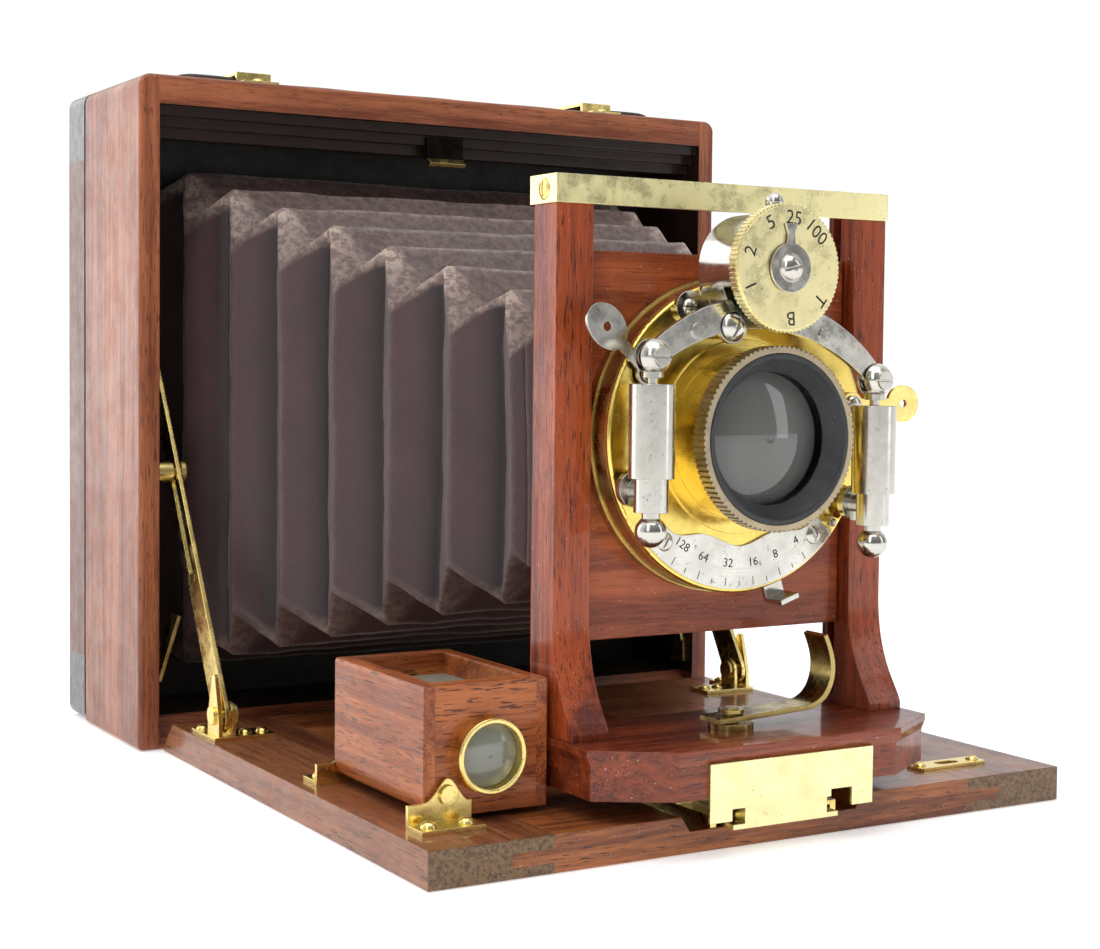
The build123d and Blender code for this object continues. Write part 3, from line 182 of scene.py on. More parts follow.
def mahogany(name, grain, light, dark, coat=0.5, coat_rough=0.12, other=None, split=None,
             middle=0.0, inside=False, end=None, pores=0.55, worn=0.35, dust=0.25, offset=0.0):
    """French-polished mahogany.

    The grain runs along x, y or z, and along `other` where |x - middle| is over `split`. `inside`
    blackens the walls of the case's well, and `end` is the colour of the end grain.
    """
    look = Look(name, coat=0.7 * coat, coat_rough=coat_rough, rough=0.42, specular=0.25)
    shifted = look.add("ShaderNodeVectorMath", {0: look.place(), 1: (offset,) * 3}).outputs[0]

    def along(short):
        """Object space drawn out along the grain, `short` being its frequency that way."""
        stretch = {axis: [short if axis == each else 1.0 for each in "xyz"] for axis in "xyz"}
        vector = look.scaled(*stretch[grain], shifted)
        if other:
            away = look.math("ABSOLUTE", look.math("SUBTRACT", look.axis("X"), middle))
            beyond = look.math("GREATER_THAN", away, split)
            across = look.scaled(*stretch[other], shifted)
            vector = look.add("ShaderNodeMix", {0: beyond, 4: vector, 5: across},
                              data_type="VECTOR").outputs[1]
        return vector

    long = along(0.045)
    ribbon = look.noise(85, 3, 0.5, long, 0.7)
    streak = look.noise(560, 5, 0.72, long, 0.2)
    fibre = look.noise(2600, 3, 0.6, long)
    tone = look.math("ADD", look.math("MULTIPLY", ribbon, 0.85), look.math("MULTIPLY", streak, 0.85))
    tone = look.math("ADD", tone, look.math("MULTIPLY", fibre, 0.30))
    wood = look.mix(look.band(tone, 0.80, 1.22), rgb(*dark), rgb(*light))
    dash = look.noise(2900, 2, 0.45, along(0.085))
    crowd = look.band(look.noise(120, 3, 0.6, long), 0.3, 0.7, -0.035, 0.035)
    pore = look.band(look.math("ADD", dash, crowd), 0.585, 0.665)
    pore_dark = rgb(*(0.25 * value for value in dark))
    wood = look.mix(look.math("MULTIPLY", pore, pores), wood, pore_dark)
    cloud = look.band(look.noise(28, 4, 0.6), 0.35, 0.7, 0.0, 0.30)
    wood = look.mix(cloud, wood, rgb(*(0.6 * value for value in dark)))
    if end:
        normal = look.add("ShaderNodeTexCoord").outputs["Normal"]
        cut = look.band(look.math("ABSOLUTE", look.axis(grain.upper(), normal)), 0.6, 0.8)
        vessels = look.band(look.noise(1300, 4, 0.7), 0.42, 0.62)
        cross = look.mix(vessels, rgb(*end), rgb(*(0.4 * value for value in end)))
        wood = look.mix(cut, wood, cross)
    soft, edge = look.rounded(0.55 * MM)
    rub = look.math("MULTIPLY", edge, look.band(look.noise(260, 4, 0.7), 0.42, 0.60, 0.0, worn))
    pale = rgb(light[0] * 1.15 + 0.06, light[1] * 1.5 + 0.05, light[2] * 1.7 + 0.03)
    wood = look.mix(rub, wood, pale)
    speck = look.band(look.noise(1900, 1, 0.4), 0.735, 0.765, 0.0, dust)
    wood = look.mix(speck, wood, rgb(0.75, 0.68, 0.62))
    if inside:
        x = look.math("LESS_THAN", look.math("ABSOLUTE", look.axis("X")), INNER_X + SKIN)
        low = look.math("GREATER_THAN", look.axis("Z"), INNER_LOW - SKIN)
        high = look.math("LESS_THAN", look.axis("Z"), INNER_HIGH + SKIN)
        hidden = look.math("MULTIPLY", look.math("MULTIPLY", x, low), high)
        wood = look.mix(look.math("MULTIPLY", hidden, 0.955), wood, rgb(0.007, 0.004, 0.003))
    height = look.math("SUBTRACT", look.math("MULTIPLY", fibre, 0.25), pore)
    body = look.bump(height, 0.06 * MM, 0.6, soft)
    film = look.bump(look.noise(210, 3, 0.5), 0.12 * MM, 0.25, soft)
    film = look.bump(pore, 0.02 * MM, 0.35, film)
    rough = look.band(look.noise(140, 4, 0.6), 0.3, 0.75, 0.36, 0.58)
    return look.put(color=wood, normal=body, coat_normal=film, rough=rough).material


def metal(name, bright, tarnish, rough, patchy, specks, brushed=False, rings=None,
          black_within=None, black_above=None, scratch=0.3, coat=0.0):
    """Worn metal: stains, dark specks, hairline scratches and rubbed edges.

    It is brushed along X, or turned in rings about a centre, and can be stained black within
    a radius of that centre. It can also be made near black above a height, behind its front face.
    """
    look = Look(name, metallic=1.0, coat=coat, coat_rough=0.15)
    stain = look.band(look.noise(75, 6, 0.65, None, 0.4), 0.50, 0.74, 0.0, patchy)
    color = look.mix(stain, rgb(*bright), rgb(*tarnish))
    fleck = look.band(look.noise(850, 4, 0.65), 0.62, 0.72, 0.0, specks)
    color = look.mix(fleck, color, rgb(*(0.35 * value for value in tarnish)))
    soft, edge = look.rounded(0.25 * MM)
    color = look.mix(look.math("MULTIPLY", edge, 0.5), color, rgb(*(min(1, 1.12 * v) for v in bright)))
    stretch = (0.03, 1, 1) if brushed else (1, 1, 0.35)
    line = look.noise(1800, 3, 0.6, look.scaled(*stretch))
    if rings:
        radius, around = look.rings(rings, 2600)
        line = look.noise(1.0, 4, 0.75, around)
        streaky = look.noise(60, 5, 0.6)
        dull = look.math("MULTIPLY", look.band(line, 0.5, 0.68), look.band(streaky, 0.40, 0.68))
        color = look.mix(look.math("MULTIPLY", dull, 0.65), color, rgb(*tarnish))
    if black_within:
        hidden = look.math("LESS_THAN", radius, black_within)
        color = look.mix(hidden, color, rgb(0.008, 0.008, 0.008))
    if black_above:
        # made near black above this height and behind the front face
        deep = look.math("GREATER_THAN", look.axis("Y"), -0.5 * MM)
        high = look.math("GREATER_THAN", look.axis("Z"), black_above)
        color = look.mix(look.math("MULTIPLY", deep, high), color, rgb(0.012, 0.010, 0.008))
    wave = look.bump(look.noise(55, 2, 0.5), 0.15 * MM, 0.06, soft)
    normal = look.bump(line, 0.02 * MM, scratch, wave)
    wear = look.math("ADD", look.band(look.noise(190, 5, 0.7), 0.35, 0.75, rough * 0.7, rough * 1.7),
                     look.math("MULTIPLY", stain, 0.25))
    return look.put(color=color, normal=normal, rough=wear).material


def leather(name, base, worn, grain=900, rough=0.5, sheen=0.15, crease=0.15 * MM, folded=False):
    """Fine pebbled leather, rubbed pale on its edges.

    Folded leather is pale by its wear attribute instead, which also holds painted top light on the roof, and
    dark by its crease attribute, which is painted shade in the fold valleys with some dirt.
    """
    look = Look(name, sheen=sheen, sheen_rough=0.4, specular=0.45, coat=0.05, coat_rough=0.35)
    pebble = look.band(look.cells(grain), 0.0, 0.22)
    cloud = look.noise(45, 5, 0.6)
    skin = look.mix(look.band(cloud, 0.3, 0.75), rgb(*(0.72 * v for v in base)), rgb(*base))
    skin = look.mix(look.math("MULTIPLY", look.math("SUBTRACT", 1.0, pebble), 0.35), skin,
                    rgb(*(0.45 * v for v in base)))
    soft, edge = look.rounded(0.5 * MM)
    if folded:
        edge = look.add("ShaderNodeAttribute", attribute_name="wear").outputs["Fac"]
        # painted shade, with some dirt: the crease attribute darkens the fold valleys to a tenth of the base
        # colour
        fold = look.add("ShaderNodeAttribute", attribute_name="crease").outputs["Fac"]
        skin = look.mix(look.math("MULTIPLY", fold, 0.9), skin, rgb(*(0.10 * v for v in base)))
    ragged = look.band(look.noise(520, 5, 0.75), 0.40, 0.60, 0.30, 1.0)
    rub = look.math("MINIMUM", look.math("MULTIPLY", edge, ragged), 0.9)
    skin = look.mix(rub, skin, rgb(*worn))
    fine = look.bump(pebble, 0.06 * MM, 0.5, soft)
    wrinkle = look.noise(170, 5, 0.65, look.scaled(1, 1, 2.2), 0.8)
    normal = look.bump(wrinkle, crease, 0.8, fine)
    roughness = look.band(cloud, 0.3, 0.7, rough - 0.06, rough + 0.14)
    return look.put(color=skin, normal=normal, rough=roughness).material


def black_satin(name, value, rough=0.35, rub=(0.25, 0.22, 0.2), amount=0.35, coat=0.0):
    look = Look(name, specular=0.5, coat=coat, coat_rough=0.2)
    soft, edge = look.rounded(0.35 * MM)
    patch = look.noise(330, 5, 0.7)
    color = look.mix(look.band(look.noise(60, 4, 0.6), 0.3, 0.7), rgb(*value),
                     rgb(*(1.7 * v + 0.004 for v in value)))
    color = look.mix(look.math("MULTIPLY", edge, look.band(patch, 0.45, 0.6, 0.0, amount)), color, rgb(*rub))
    speck = look.band(look.noise(2300, 2, 0.5), 0.70, 0.76, 0.0, 0.35)
    color = look.mix(speck, color, rgb(0.4, 0.4, 0.38))
    normal = look.bump(look.noise(900, 4, 0.6), 0.02 * MM, 0.4, soft)
    return look.put(color=color, normal=normal,
                    rough=look.band(patch, 0.3, 0.7, rough, rough + 0.2)).material


def clear_glass(name, tint, transmission, rough=0.03, dust=0.25):
    look = Look(name, ior=1.52, transmission=transmission, coat=0.6, coat_rough=0.02)
    smear = look.band(look.noise(120, 5, 0.7), 0.35, 0.75, rough, rough + 0.10)
    grime = look.band(look.noise(1400, 3, 0.6), 0.68, 0.75, 0.0, dust)
    color = look.mix(grime, rgb(*tint), rgb(0.8, 0.8, 0.76))
    return look.put(color=color, rough=smear).material


def ground_glass(name, tint, transmission=0.35):
    look = Look(name, ior=1.5, transmission=transmission, coat=0.25, coat_rough=0.1)
    tooth = look.noise(5200, 2, 0.6)
    cloud = look.noise(70, 5, 0.65)
    color = look.mix(look.band(cloud, 0.3, 0.75), rgb(*(0.90 * v for v in tint)), rgb(*tint))
    return look.put(color=color, normal=look.bump(tooth, 0.02 * MM, 0.5),
                    rough=look.band(cloud, 0.3, 0.7, 0.45, 0.62)).material


def silvered(name):
    look = Look(name, metallic=1.0)
    age = look.band(look.noise(160, 6, 0.7), 0.5, 0.75)
    color = look.mix(age, rgb(0.85, 0.86, 0.86), rgb(0.42, 0.40, 0.36))
    return look.put(color=color, rough=look.band(age, 0, 1, 0.05, 0.3)).material


def dress(name, material):
    slots = nodes[name].data.materials
    slots.clear()
    slots.append(material)


# ---------------------------------------------------------------- woods

deep_light, deep_dark = (0.34, 0.062, 0.015), (0.11, 0.014, 0.004)
dress("body_case", mahogany("case_mahogany", "x", (0.44, 0.145, 0.062), (0.17, 0.038, 0.014),
                            other="z", split=INNER_X - SKIN, inside=True, coat=0.45))
dress("back_frame", mahogany("back_mahogany", "x", (0.20, 0.06, 0.024), (0.09, 0.022, 0.009),
                             other="z", split=BACK_STILE_X, offset=0.4))
dress("screen_frame", mahogany("screen_mahogany", "x", (0.25, 0.075, 0.03), (0.11, 0.026, 0.01),
                               other="z", split=SCREEN_STILE_X, offset=0.7))
dress("bed_panel", mahogany("bed_mahogany", "x", (0.50, 0.165, 0.045), (0.15, 0.034, 0.009),
                            coat=0.75, coat_rough=0.07, pores=0.8, offset=0.2))
dress("bed_stiles", mahogany("stile_mahogany", "y", (0.36, 0.135, 0.055), (0.15, 0.042, 0.016),
                             end=(0.22, 0.125, 0.058),
                             coat=0.7, coat_rough=0.08, pores=0.7, offset=0.9))
box_low, box_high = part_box("finder_box")
dress("finder_box", mahogany("finder_mahogany", "x", (0.56, 0.165, 0.042), (0.21, 0.042, 0.010),
                             other="y", split=(box_high.x - box_low.x) / 2 - 2.4 * MM,
                             middle=(box_high.x + box_low.x) / 2, pores=0.85, coat=0.6,
                             coat_rough=0.1, offset=1.3))
dress("standard_base", mahogany("base_mahogany", "x", deep_light, deep_dark, coat=0.85,
                                coat_rough=0.07, dust=0.5, pores=0.7, offset=1.7))
dress("posts", mahogany("post_mahogany", "z", (0.44, 0.080, 0.018), (0.12, 0.014, 0.004),
                        coat=0.75, coat_rough=0.08, pores=0.75, worn=0.6, offset=2.1))
dress("lens_board", mahogany("board_mahogany", "x", (0.50, 0.115, 0.032), (0.22, 0.036, 0.010),
                             coat=0.6, coat_rough=0.09, pores=0.35, offset=2.6))
dress("bellows_frame", black_satin("inner_black", (0.006, 0.005, 0.004), 0.5))
dress("back_corners", black_satin("ebonised", (0.016, 0.014, 0.014), 0.28, (0.30, 0.16, 0.10), 0.5, 0.4))

# ---------------------------------------------------------------- metals

brass = metal("brass", (0.88, 0.70, 0.26), (0.42, 0.30, 0.09), 0.24, 0.20, 0.4)
inner_brass = metal("inner_brass", (0.80, 0.62, 0.24), (0.36, 0.26, 0.09), 0.30, 0.30, 0.5,
                    black_above=ROOF_CLIP_LIP)
screw_brass = metal("screw_brass", (0.84, 0.67, 0.26), (0.36, 0.26, 0.08), 0.26, 0.25, 0.4)
bar_brass = metal("bar_brass", (0.95, 0.86, 0.46), (0.50, 0.40, 0.14), 0.30, 0.06, 0.45,
                  brushed=True)
aged_brass = metal("aged_brass", (0.46, 0.35, 0.13), (0.13, 0.09, 0.03), 0.24, 0.6, 0.6)
lens_centre = (0.0, 0.0, lens_z)
face_brass = metal("face_brass", (0.90, 0.68, 0.17), (0.34, 0.22, 0.05), 0.18, 0.35, 0.25,
                   rings=lens_centre, black_within=LENS_TUBE_RADIUS, scratch=0.35, coat=0.2)
drum_brass = metal("drum_brass", (0.58, 0.43, 0.16), (0.18, 0.13, 0.05), 0.30, 0.6, 0.7)
dial_brass = metal("dial_brass", (0.93, 0.83, 0.46), (0.48, 0.37, 0.13), 0.30, 0.22, 0.45)
ring_brass = metal("ring_brass", (0.46, 0.38, 0.26), (0.14, 0.11, 0.07), 0.32, 0.5, 0.6)
nickel = metal("nickel", (0.62, 0.60, 0.55), (0.34, 0.30, 0.23), 0.16, 0.28, 0.6)
plate_nickel = metal("plate_nickel", (0.76, 0.75, 0.69), (0.36, 0.34, 0.30), 0.32, 0.25, 0.7,
                     rings=lens_centre)
dress("body_springs", inner_brass)
dress("body_screws", screw_brass)
for name in ("hinge_body_leaves", "handle_loops", "tripod_bush",
             "track_rails", "hinge_bed_leaves", "catch_plate", "finder_brackets", "strut_brackets",
             "bed_rivets", "bed_screws", "strut_left", "strut_right", "finder_lens_ring",
             "standard_screws", "cocking_lever"):
    dress(name, brass)
for name in ("top_bar", "clamp_saddle"):
    dress(name, bar_brass)
for name in ("clamp_screw", "clamp_lever", "back_springs"):
    dress(name, aged_brass)
for name in ("shutter_face", "lens_barrel"):
    dress(name, face_brass)
dress("shutter_case", drum_brass)
dress("speed_dial", dial_brass)
dress("lens_ring", ring_brass)
for name in ("cylinders", "piston_left", "piston_right", "shutter_arm", "speed_housing",
             "release_lever", "shutter_screws", "iris_ring"):
    dress(name, nickel)
dress("scale_plate", plate_nickel)
black = black_satin("black_lacquer", (0.018, 0.019, 0.021), 0.38)
for name in ("lens_bezel", "rear_cell", "blade_left", "blade_right", "iris_leaves"):
    dress(name, black)

# ---------------------------------------------------------------- glass

dress("lens_glasses", clear_glass("lens_glass", (0.30, 0.31, 0.29), 0.62, 0.02))
dress("finder_lens", clear_glass("finder_glass", (0.46, 0.48, 0.40), 0.5, 0.05))
dress("focusing_screen", ground_glass("screen_glass", (0.60, 0.64, 0.58)))
dress("finder_screen", ground_glass("finder_ground_glass", (0.42, 0.44, 0.34)))
dress("finder_mirror", silvered("silvered"))


# ---------------------------------------------------------------- bellows

REAR = 31.2
FRONT = -113.6
FIRST_RIDGE = 3.0
PITCH = 19.0
ROWS_PER_FOLD = 12
SIDE_POINTS = 30
CORNER_POINTS = 6

# section at the first ridge, its taper per fold and how far an outer side crease differs, millimetres
HALF, HALF_TAPER, HALF_STEP = 58.9, 4.75, 5.8
FLOOR, FLOOR_TAPER, FLOOR_STEP = 21.0, 4.5, 7.0
ROOF, ROOF_TAPER, ROOF_STEP = 135.0, 5.2, 8.5
OUTER_FACET = (9.5, 2.6)
INNER_FACET = (1.0, 1.0)


def fold_lines():
    """(y, sides stand out) of each crease from the partition to the lens board, millimetres."""
    lines = [(REAR, True)]
    ridge = FIRST_RIDGE + PITCH
    while ridge > FRONT + 14:
        lines.append((ridge, False))
        lines.append((ridge - PITCH / 2, True))
        ridge -= PITCH
    lines[-1] = (lines[-1][0] + 0.4, True)
    lines.append((FRONT + 5.6, False))
    lines.append((FRONT, True))
    return lines


def section(y, out):
    """Half width, floor, roof and the two legs of the corner facet at one crease, millimetres."""
    k = (FIRST_RIDGE - y) / PITCH
    half = HALF - HALF_TAPER * k + (HALF_STEP if out else 0.0)
    floor = FLOOR + FLOOR_TAPER * k + (FLOOR_STEP if out else 0.0)
    roof = ROOF - ROOF_TAPER * k - (ROOF_STEP if out else 0.0)
    return half, floor, roof, *(OUTER_FACET if out else INNER_FACET)


def outline(half, floor, roof, inward, downward, grow):
    """(x, z, kind) round one section; kind is 0 on the sides, 1 on roof and floor, 0.5 on corners."""
    half, floor, roof = half + grow, floor - grow, roof + grow
    points = []
    for across, up in ((1, -1), (1, 1), (-1, 1), (-1, -1)):
        level = roof if up > 0 else floor
        on_side = Vector((across * half, level - up * downward))
        on_level = Vector((across * (half - inward), level))
        tip = Vector((across * half, level))
        first, last = (on_level, on_side) if across * up < 0 else (on_side, on_level)
        for step in range(CORNER_POINTS):
            t = step / (CORNER_POINTS - 1)
            spot = first.lerp(last, t)
            points.append((*spot.lerp(tip, 0.16 * math.sin(math.pi * t)), 0.5))
        if across * up < 0:
            end = Vector((across * half, (roof if up < 0 else floor) + up * downward))
            kind = 0.0
        else:
            end = Vector((-across * (half - inward), level))
            kind = 1.0
        for step in range(1, SIDE_POINTS):
            points.append((*last.lerp(end, step / SIDE_POINTS), kind))
    return points


def bellows_rows():
    """(y, section, nearness to an outer side crease, nearness to an inner one) down the length."""
    lines = fold_lines()
    rows = []
    for (y0, out0), (y1, out1) in zip(lines, lines[1:]):
        a = section(y0, out0)
        b = section(y1, out1)
        last = (y1, out1) == lines[-1]
        for step in range(ROWS_PER_FOLD + (1 if last else 0)):
            t = step / ROWS_PER_FOLD
            values = [p + (q - p) * t for p, q in zip(a, b)]
            outer = t if not out0 else 1 - t
            rows.append((y0 + (y1 - y0) * t, values, outer, 1 - outer))
    return rows


def peak(nearness, reach):
    """1 at a crease, falling to 0 at `reach` from it."""
    return max(0.0, 1 - (1 - nearness) / reach)


def bellows_mesh(name, rows, thickness=0.7):
    """Closed shell of the leather between the first and last of these rows."""
    mesh = bmesh.new()
    wear = mesh.verts.layers.float.new("wear")
    crease = mesh.verts.layers.float.new("crease")
    shells = []
    for grow in (0.0, -thickness):
        rings = []
        for y, values, outer, inner in rows:
            half, floor, roof, inward, downward = values
            ring = []
            for x, z, kind in outline(half, floor, roof, inward, downward, grow):
                spot = Vector((x, y, z))
                middle = (floor + roof) / 2
                tall = (roof - floor) / 2
                away = Vector((x / half, 0.0, (z - middle) / tall))
                edge_on = max(abs(away.x), abs(away.z))
                puff = noise.noise(spot * 0.055) * 0.5 + noise.noise(spot * 0.17) * 0.28
                side, level = (1.0, 0.0) if kind == 0.0 else (0.0, float(kind == 1.0))
                pinch = 0.9 * peak(inner, 0.16) * side + 0.9 * peak(outer, 0.16) * level
                swell = 0.15 * math.sin(math.pi * outer) * edge_on
                spot += away * (puff + swell - pinch)
                spot.y += noise.noise(spot * 0.04 + Vector((7, 3, 1))) * 0.9
                vertex = mesh.verts.new(spot * MM)
                on_top = z > middle
                on_corner = kind == 0.5
                facet = 0.0
                if on_corner:
                    facet = (0.45 + 0.55 * peak(inner, 0.6)) * (1.0 if on_top else 0.35)
                # painted top light, also dust: the roof leather is made paler through the wear attribute
                dust = 0.20 * level if on_top else 0.0
                crest = 0.06 * peak(outer, 0.14) * side + 0.30 * peak(inner, 0.10) * level
                vertex[wear] = min(1.0, facet + dust + crest)
                # painted shade, with some dirt: the crease attribute darkens each side panel towards its
                # inner crease, and the roof and floor at their outer creases
                valley_shade = peak(inner, 0.55) ** 1.3 * side + peak(outer, 0.16) * level
                vertex[crease] = 0.0 if on_corner else min(1.0, valley_shade)
                ring.append(vertex)
            rings.append(ring)
        shells.append(rings)
    count = len(shells[0][0])
    for shell, rings in enumerate(shells):
        for upper, lower in zip(rings, rings[1:]):
            for i in range(count):
                j = (i + 1) % count
                face = [upper[i], upper[j], lower[j], lower[i]]
                mesh.faces.new(face if shell else face[::-1])
    for end in (0, -1):
        for i in range(count):
            j = (i + 1) % count
            face = [shells[0][end][i], shells[0][end][j], shells[1][end][j], shells[1][end][i]]
            mesh.faces.new(face if end == 0 else face[::-1])
    bmesh.ops.recalc_face_normals(mesh, faces=mesh.faces)
    return finish_mesh(name, mesh, smooth=True)


def finish_mesh(name, mesh, smooth=False):
    data = bpy.data.meshes.new(name)
    mesh.to_mesh(data)
    mesh.free()
    piece = bpy.data.objects.new(name, data)
    scene.collection.objects.link(piece)
    if smooth:
        data.shade_smooth()
    return piece


bellows_leather = leather("bellows_leather", (0.080, 0.038, 0.040), (0.55, 0.42, 0.35),
                          folded=True, grain=1300, rough=0.44)


def make_bellows():
    """Three lengths that meet at creases: body to bed, bed to standard, standard to lens board."""
    rows = bellows_rows()
    ys = [row[0] for row in rows]

    def nearest(y):
        return min(range(len(ys)), key=lambda i: abs(ys[i] - y))

    cuts = [0, nearest(FIRST_RIDGE - 2 * PITCH), nearest(FRONT + 10.0), len(rows) - 1]
    joined = (("bellows_rear", "body", "bed"), ("bellows_middle", "bed", "standard"),
              ("bellows_front", "standard", "lens_board"))
    for (name, a, b), start, end in zip(joined, cuts, cuts[1:]):
        piece = bellows_mesh(name, rows[start:end + 1])
        piece.data.materials.append(bellows_leather)
        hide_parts("bellows")
        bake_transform(piece)


make_bellows()


# ---------------------------------------------------------------- carrying handle

strap_low, strap_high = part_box("handle_strap")


def make_strap():
    """Leather strap lying flat under its loops, doubled and rounded at its ends."""
    mesh = bmesh.new()
    length = strap_high.x - strap_low.x
    middle_y = (strap_low.y + strap_high.y) / 2
    half_width = (strap_high.y - strap_low.y) / 2
    low = strap_low.z + SKIN
    steps, across = 96, 14
    rings = []
    for i in range(steps + 1):
        t = i / steps
        x = strap_low.x + length * t
        from_end = min(t, 1 - t) * length
        narrow = math.sqrt(max(0.0, 1 - max(0.0, 1 - from_end / (5 * MM)) ** 2))
        width = half_width * (0.55 + 0.45 * narrow)
        doubled = 1.0 if from_end < 15 * MM else 0.0
        thick = (1.75 + 0.75 * doubled) * MM * (0.62 + 0.38 * narrow)
        rise = 0.12 * MM * math.sin(9 * t * math.pi)
        ring = []
        for k in range(2 * across):
            angle = 2 * math.pi * k / (2 * across)
            c, s = math.cos(angle), math.sin(angle)
            y = middle_y + width * math.copysign(abs(c) ** 0.35, c)
            z = low + thick / 2 + thick / 2 * math.copysign(abs(s) ** 0.5, s)
            if s > 0:
                z += rise * s
            ring.append(mesh.verts.new((x, y, max(low, z))))
        rings.append(ring)
    for a, b in zip(rings, rings[1:]):
        for k in range(2 * across):
            j = (k + 1) % (2 * across)
            mesh.faces.new((a[k], b[k], b[j], a[j]))
    mesh.faces.new(rings[0])
    mesh.faces.new(rings[-1][::-1])
    bmesh.ops.recalc_face_normals(mesh, faces=mesh.faces)
    return finish_mesh("leather_strap", mesh, smooth=True)


strap = make_strap()
strap.data.materials.append(leather("strap_leather", (0.036, 0.022, 0.017), (0.16, 0.10, 0.07), grain=800,
                                    rough=0.38, sheen=0.05, crease=0.25 * MM))
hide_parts("handle_strap")
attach(strap, "body")


# ---------------------------------------------------------------- figures and marks

ink = black_satin("engraved_black", (0.012, 0.010, 0.008), 0.55, amount=0.0)


def figure(text, size, depth, at, turn):
    """The mesh of a raised hair-thin figure that faces the front, turned about Y."""
    curve = bpy.data.curves.new("figure", "FONT")
    curve.body = text
    curve.size = size
    curve.extrude = depth
    curve.align_x = "CENTER"
    curve.align_y = "CENTER"
    curve.resolution_u = 4
    holder = bpy.data.objects.new("figure", curve)
    scene.collection.objects.link(holder)
    holder.matrix_world = Matrix.Translation(at) @ Matrix.Rotation(turn, 4, "Y") @ Matrix.Rotation(
        math.pi / 2, 4, "X")
    bpy.context.view_layer.update()
    mesh = bpy.data.meshes.new_from_object(holder.evaluated_get(bpy.context.evaluated_depsgraph_get()))
    mesh.transform(holder.matrix_world)
    bpy.data.objects.remove(holder)
    return mesh


def join(name, meshes):
    """One piece from several meshes."""
    whole = bmesh.new()
    for mesh in meshes:
        whole.from_mesh(mesh)
        bpy.data.meshes.remove(mesh)
    return finish_mesh(name, whole)


def mark(radius, angle, centre_z, y, long, wide, depth=0.03 * MM):
    """A short radial stroke on a front face."""
    mesh = bmesh.new()
    bmesh.ops.create_cube(mesh, size=1.0)
    bmesh.ops.scale(mesh, vec=(wide, depth * 2, long), verts=mesh.verts)
    data = bpy.data.meshes.new("mark")
    mesh.to_mesh(data)
    mesh.free()
    x, z = radius * math.sin(angle), centre_z + radius * math.cos(angle)
    data.transform(Matrix.Translation((x, y, z)) @ Matrix.Rotation(angle, 4, "Y"))
    return data


def round_figures(entries, radius, centre_z, y, size, feet_in=True):
    """Figures round a circle, with their feet towards its centre or away from it."""
    meshes = []
    for text, degrees in entries:
        angle = math.radians(degrees)
        at = Vector((radius * math.sin(angle), y, centre_z + radius * math.cos(angle)))
        turn = angle if feet_in else angle + math.pi
        meshes.append(figure(text, size, 0.03 * MM, at, turn))
    return meshes


dial_speeds = [("1", -112), ("2", -72), ("5", -28), ("25", 6), ("100", 42), ("T", 128), ("B", 176)]
dial_marks = join("dial_figures", round_figures(dial_speeds, 9.7 * MM, dial_z, dial_low.y, 3.9 * MM))
dial_marks.data.materials.append(ink)
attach(dial_marks, "speed_dial")

plate_low, plate_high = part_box("scale_plate")
stops = [("4", 147), ("8", 160), ("16", 173), ("32", 187), ("64", 201), ("128", 214)]
scale_meshes = round_figures(stops, 25.6 * MM, lens_z, plate_low.y, 2.5 * MM, feet_in=False)
for index in range(11):
    long = (1.7 if index % 2 == 0 else 1.0) * MM
    angle = math.radians(147 + 6.7 * index)
    scale_meshes.append(mark(30.2 * MM - long / 2, angle, lens_z, plate_low.y, long, 0.16 * MM))
scale_marks = join("stop_scale", scale_meshes)
scale_marks.data.materials.append(ink)
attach(scale_marks, "lens_board")


# ---------------------------------------------------------------- studio

def floor_material():
    look = Look("floor", rough=0.6, specular=0.2, emission=0.42)
    tone = look.band(look.noise(3.0, 3, 0.5), 0.3, 0.7)
    look.tree.links.new(look.mix(tone, rgb(0.97, 0.97, 0.97), rgb(1, 1, 1)),
                        look.surface.inputs["Emission Color"])
    return look.put(color=look.mix(tone, rgb(0.90, 0.90, 0.895), rgb(0.93, 0.93, 0.93))).material


def make_floor():
    mesh = bmesh.new()
    bmesh.ops.create_circle(mesh, cap_ends=True, segments=128, radius=40.0)
    floor = finish_mesh("floor", mesh)
    floor.location.z = -0.2 * MM
    floor.data.materials.append(floor_material())


def softbox(name, direction, distance, width, height, radiance):
    """A soft area light facing the middle of the object."""
    middle = (Vector(cad_box[0]) + Vector(cad_box[1])) / 2
    light = bpy.data.lights.new(name, "AREA")
    light.shape = "RECTANGLE"
    light.size = width
    light.size_y = height
    light.energy = radiance * math.pi * width * height
    holder = bpy.data.objects.new(name, light)
    away = Vector(direction).normalized()
    holder.location = middle + away * distance
    holder.rotation_mode = "QUATERNION"
    holder.rotation_quaternion = away.to_track_quat("Z", "Y")
    holder.visible_camera = False
    scene.collection.objects.link(holder)


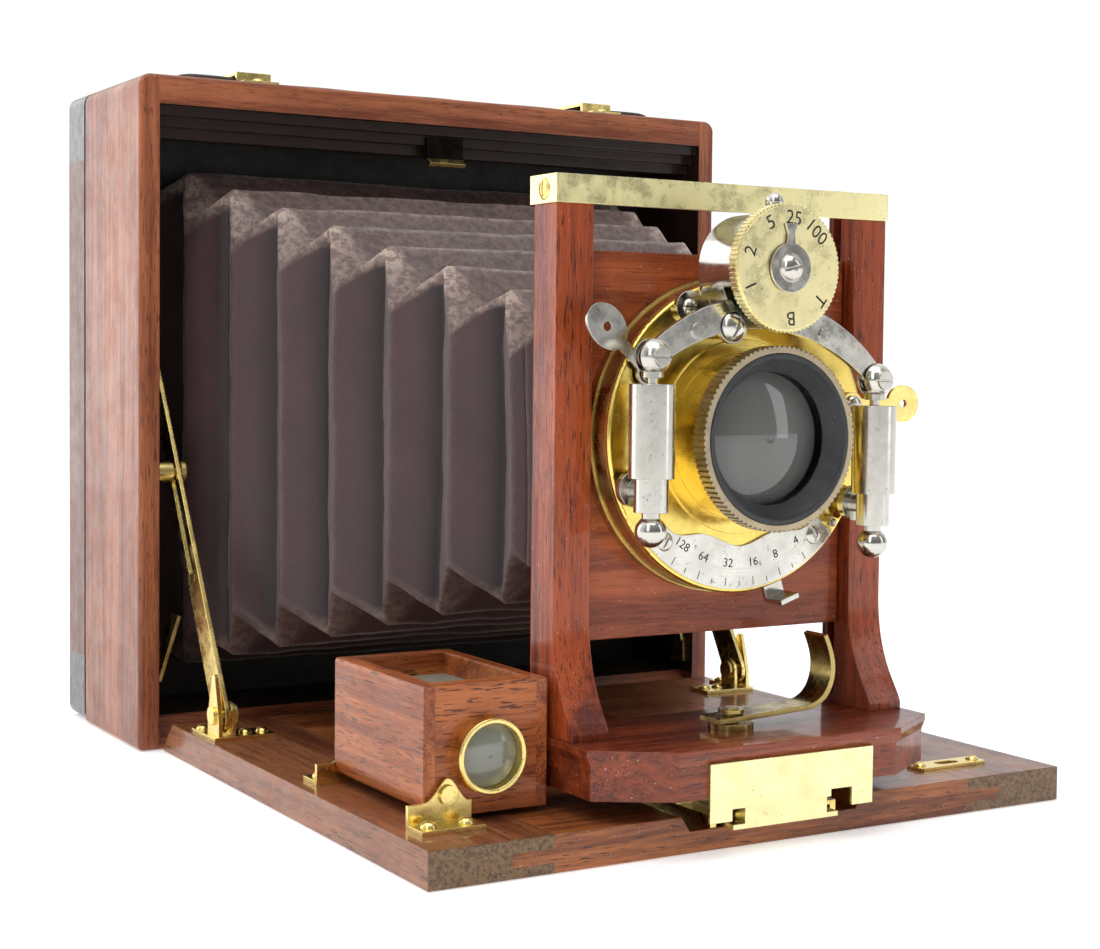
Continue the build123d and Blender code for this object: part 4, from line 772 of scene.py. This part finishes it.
def make_world():
    """A white room that is darker on the side the lens looks at, and plain white to look at."""
    world = bpy.data.worlds.new("studio")
    world.use_nodes = True
    tree = world.node_tree
    back = tree.nodes["Background"]

    def link(kind, inputs, **settings):
        made = tree.nodes.new(kind)
        for key, value in settings.items():
            setattr(made, key, value)
        for key, value in inputs.items():
            if isinstance(value, bpy.types.NodeSocket):
                tree.links.new(value, made.inputs[key])
            else:
                made.inputs[key].default_value = value
        return made.outputs

    way = link("ShaderNodeSeparateXYZ", {0: link("ShaderNodeTexCoord", {})["Generated"]})
    behind = link("ShaderNodeMapRange", {"Value": way[1], "From Min": -0.45, "From Max": 0.35,
                                         "To Min": 0.20, "To Max": 0.95}, interpolation_type="SMOOTHSTEP")[0]
    above = link("ShaderNodeMapRange", {"Value": way[2], "From Min": 0.15, "From Max": 0.9,
                                        "To Min": 0.0, "To Max": 0.22}, interpolation_type="SMOOTHSTEP")[0]
    light = link("ShaderNodeMath", {0: behind, 1: above}, operation="ADD")[0]
    seen = link("ShaderNodeLightPath", {})["Is Camera Ray"]
    strength = link("ShaderNodeMix", {0: seen, 2: light, 3: 1.05}, data_type="FLOAT")[0]
    tree.links.new(strength, back.inputs["Strength"])
    back.inputs["Color"].default_value = rgb(1.0, 1.0, 1.0)
    scene.world = world


def make_camera():
    right = Vector((0.86076842, -0.50888694, 0.01057409))
    up = Vector((0.01428065, 0.04491111, 0.99888891))
    back = right.cross(up)
    data = bpy.data.cameras.new("camera")
    data.sensor_width = 36.0
    data.lens = 62.93
    data.shift_y = -0.0246
    data.clip_start = 0.01
    data.clip_end = 50.0
    holder = bpy.data.objects.new("camera", data)
    holder.matrix_world = Matrix.Translation((-0.23045, -0.44089, 0.09464)) @ Matrix(
        (right, up, back)).transposed().to_4x4()
    scene.collection.objects.link(holder)
    scene.camera = holder


make_floor()
make_world()
softbox("rear_left_softbox", (-0.56, 0.80, 0.22), 0.9, 1.0, 0.8, 1.15)
softbox("top_softbox", (-0.15, -0.30, 1.0), 0.9, 0.9, 0.7, 1.7)
softbox("front_left_softbox", (-0.80, -0.65, 0.55), 1.1, 0.24, 0.8, 2.6)
softbox("front_right_softbox", (0.75, -0.75, 0.35), 1.2, 0.22, 0.9, 1.7)
make_camera()
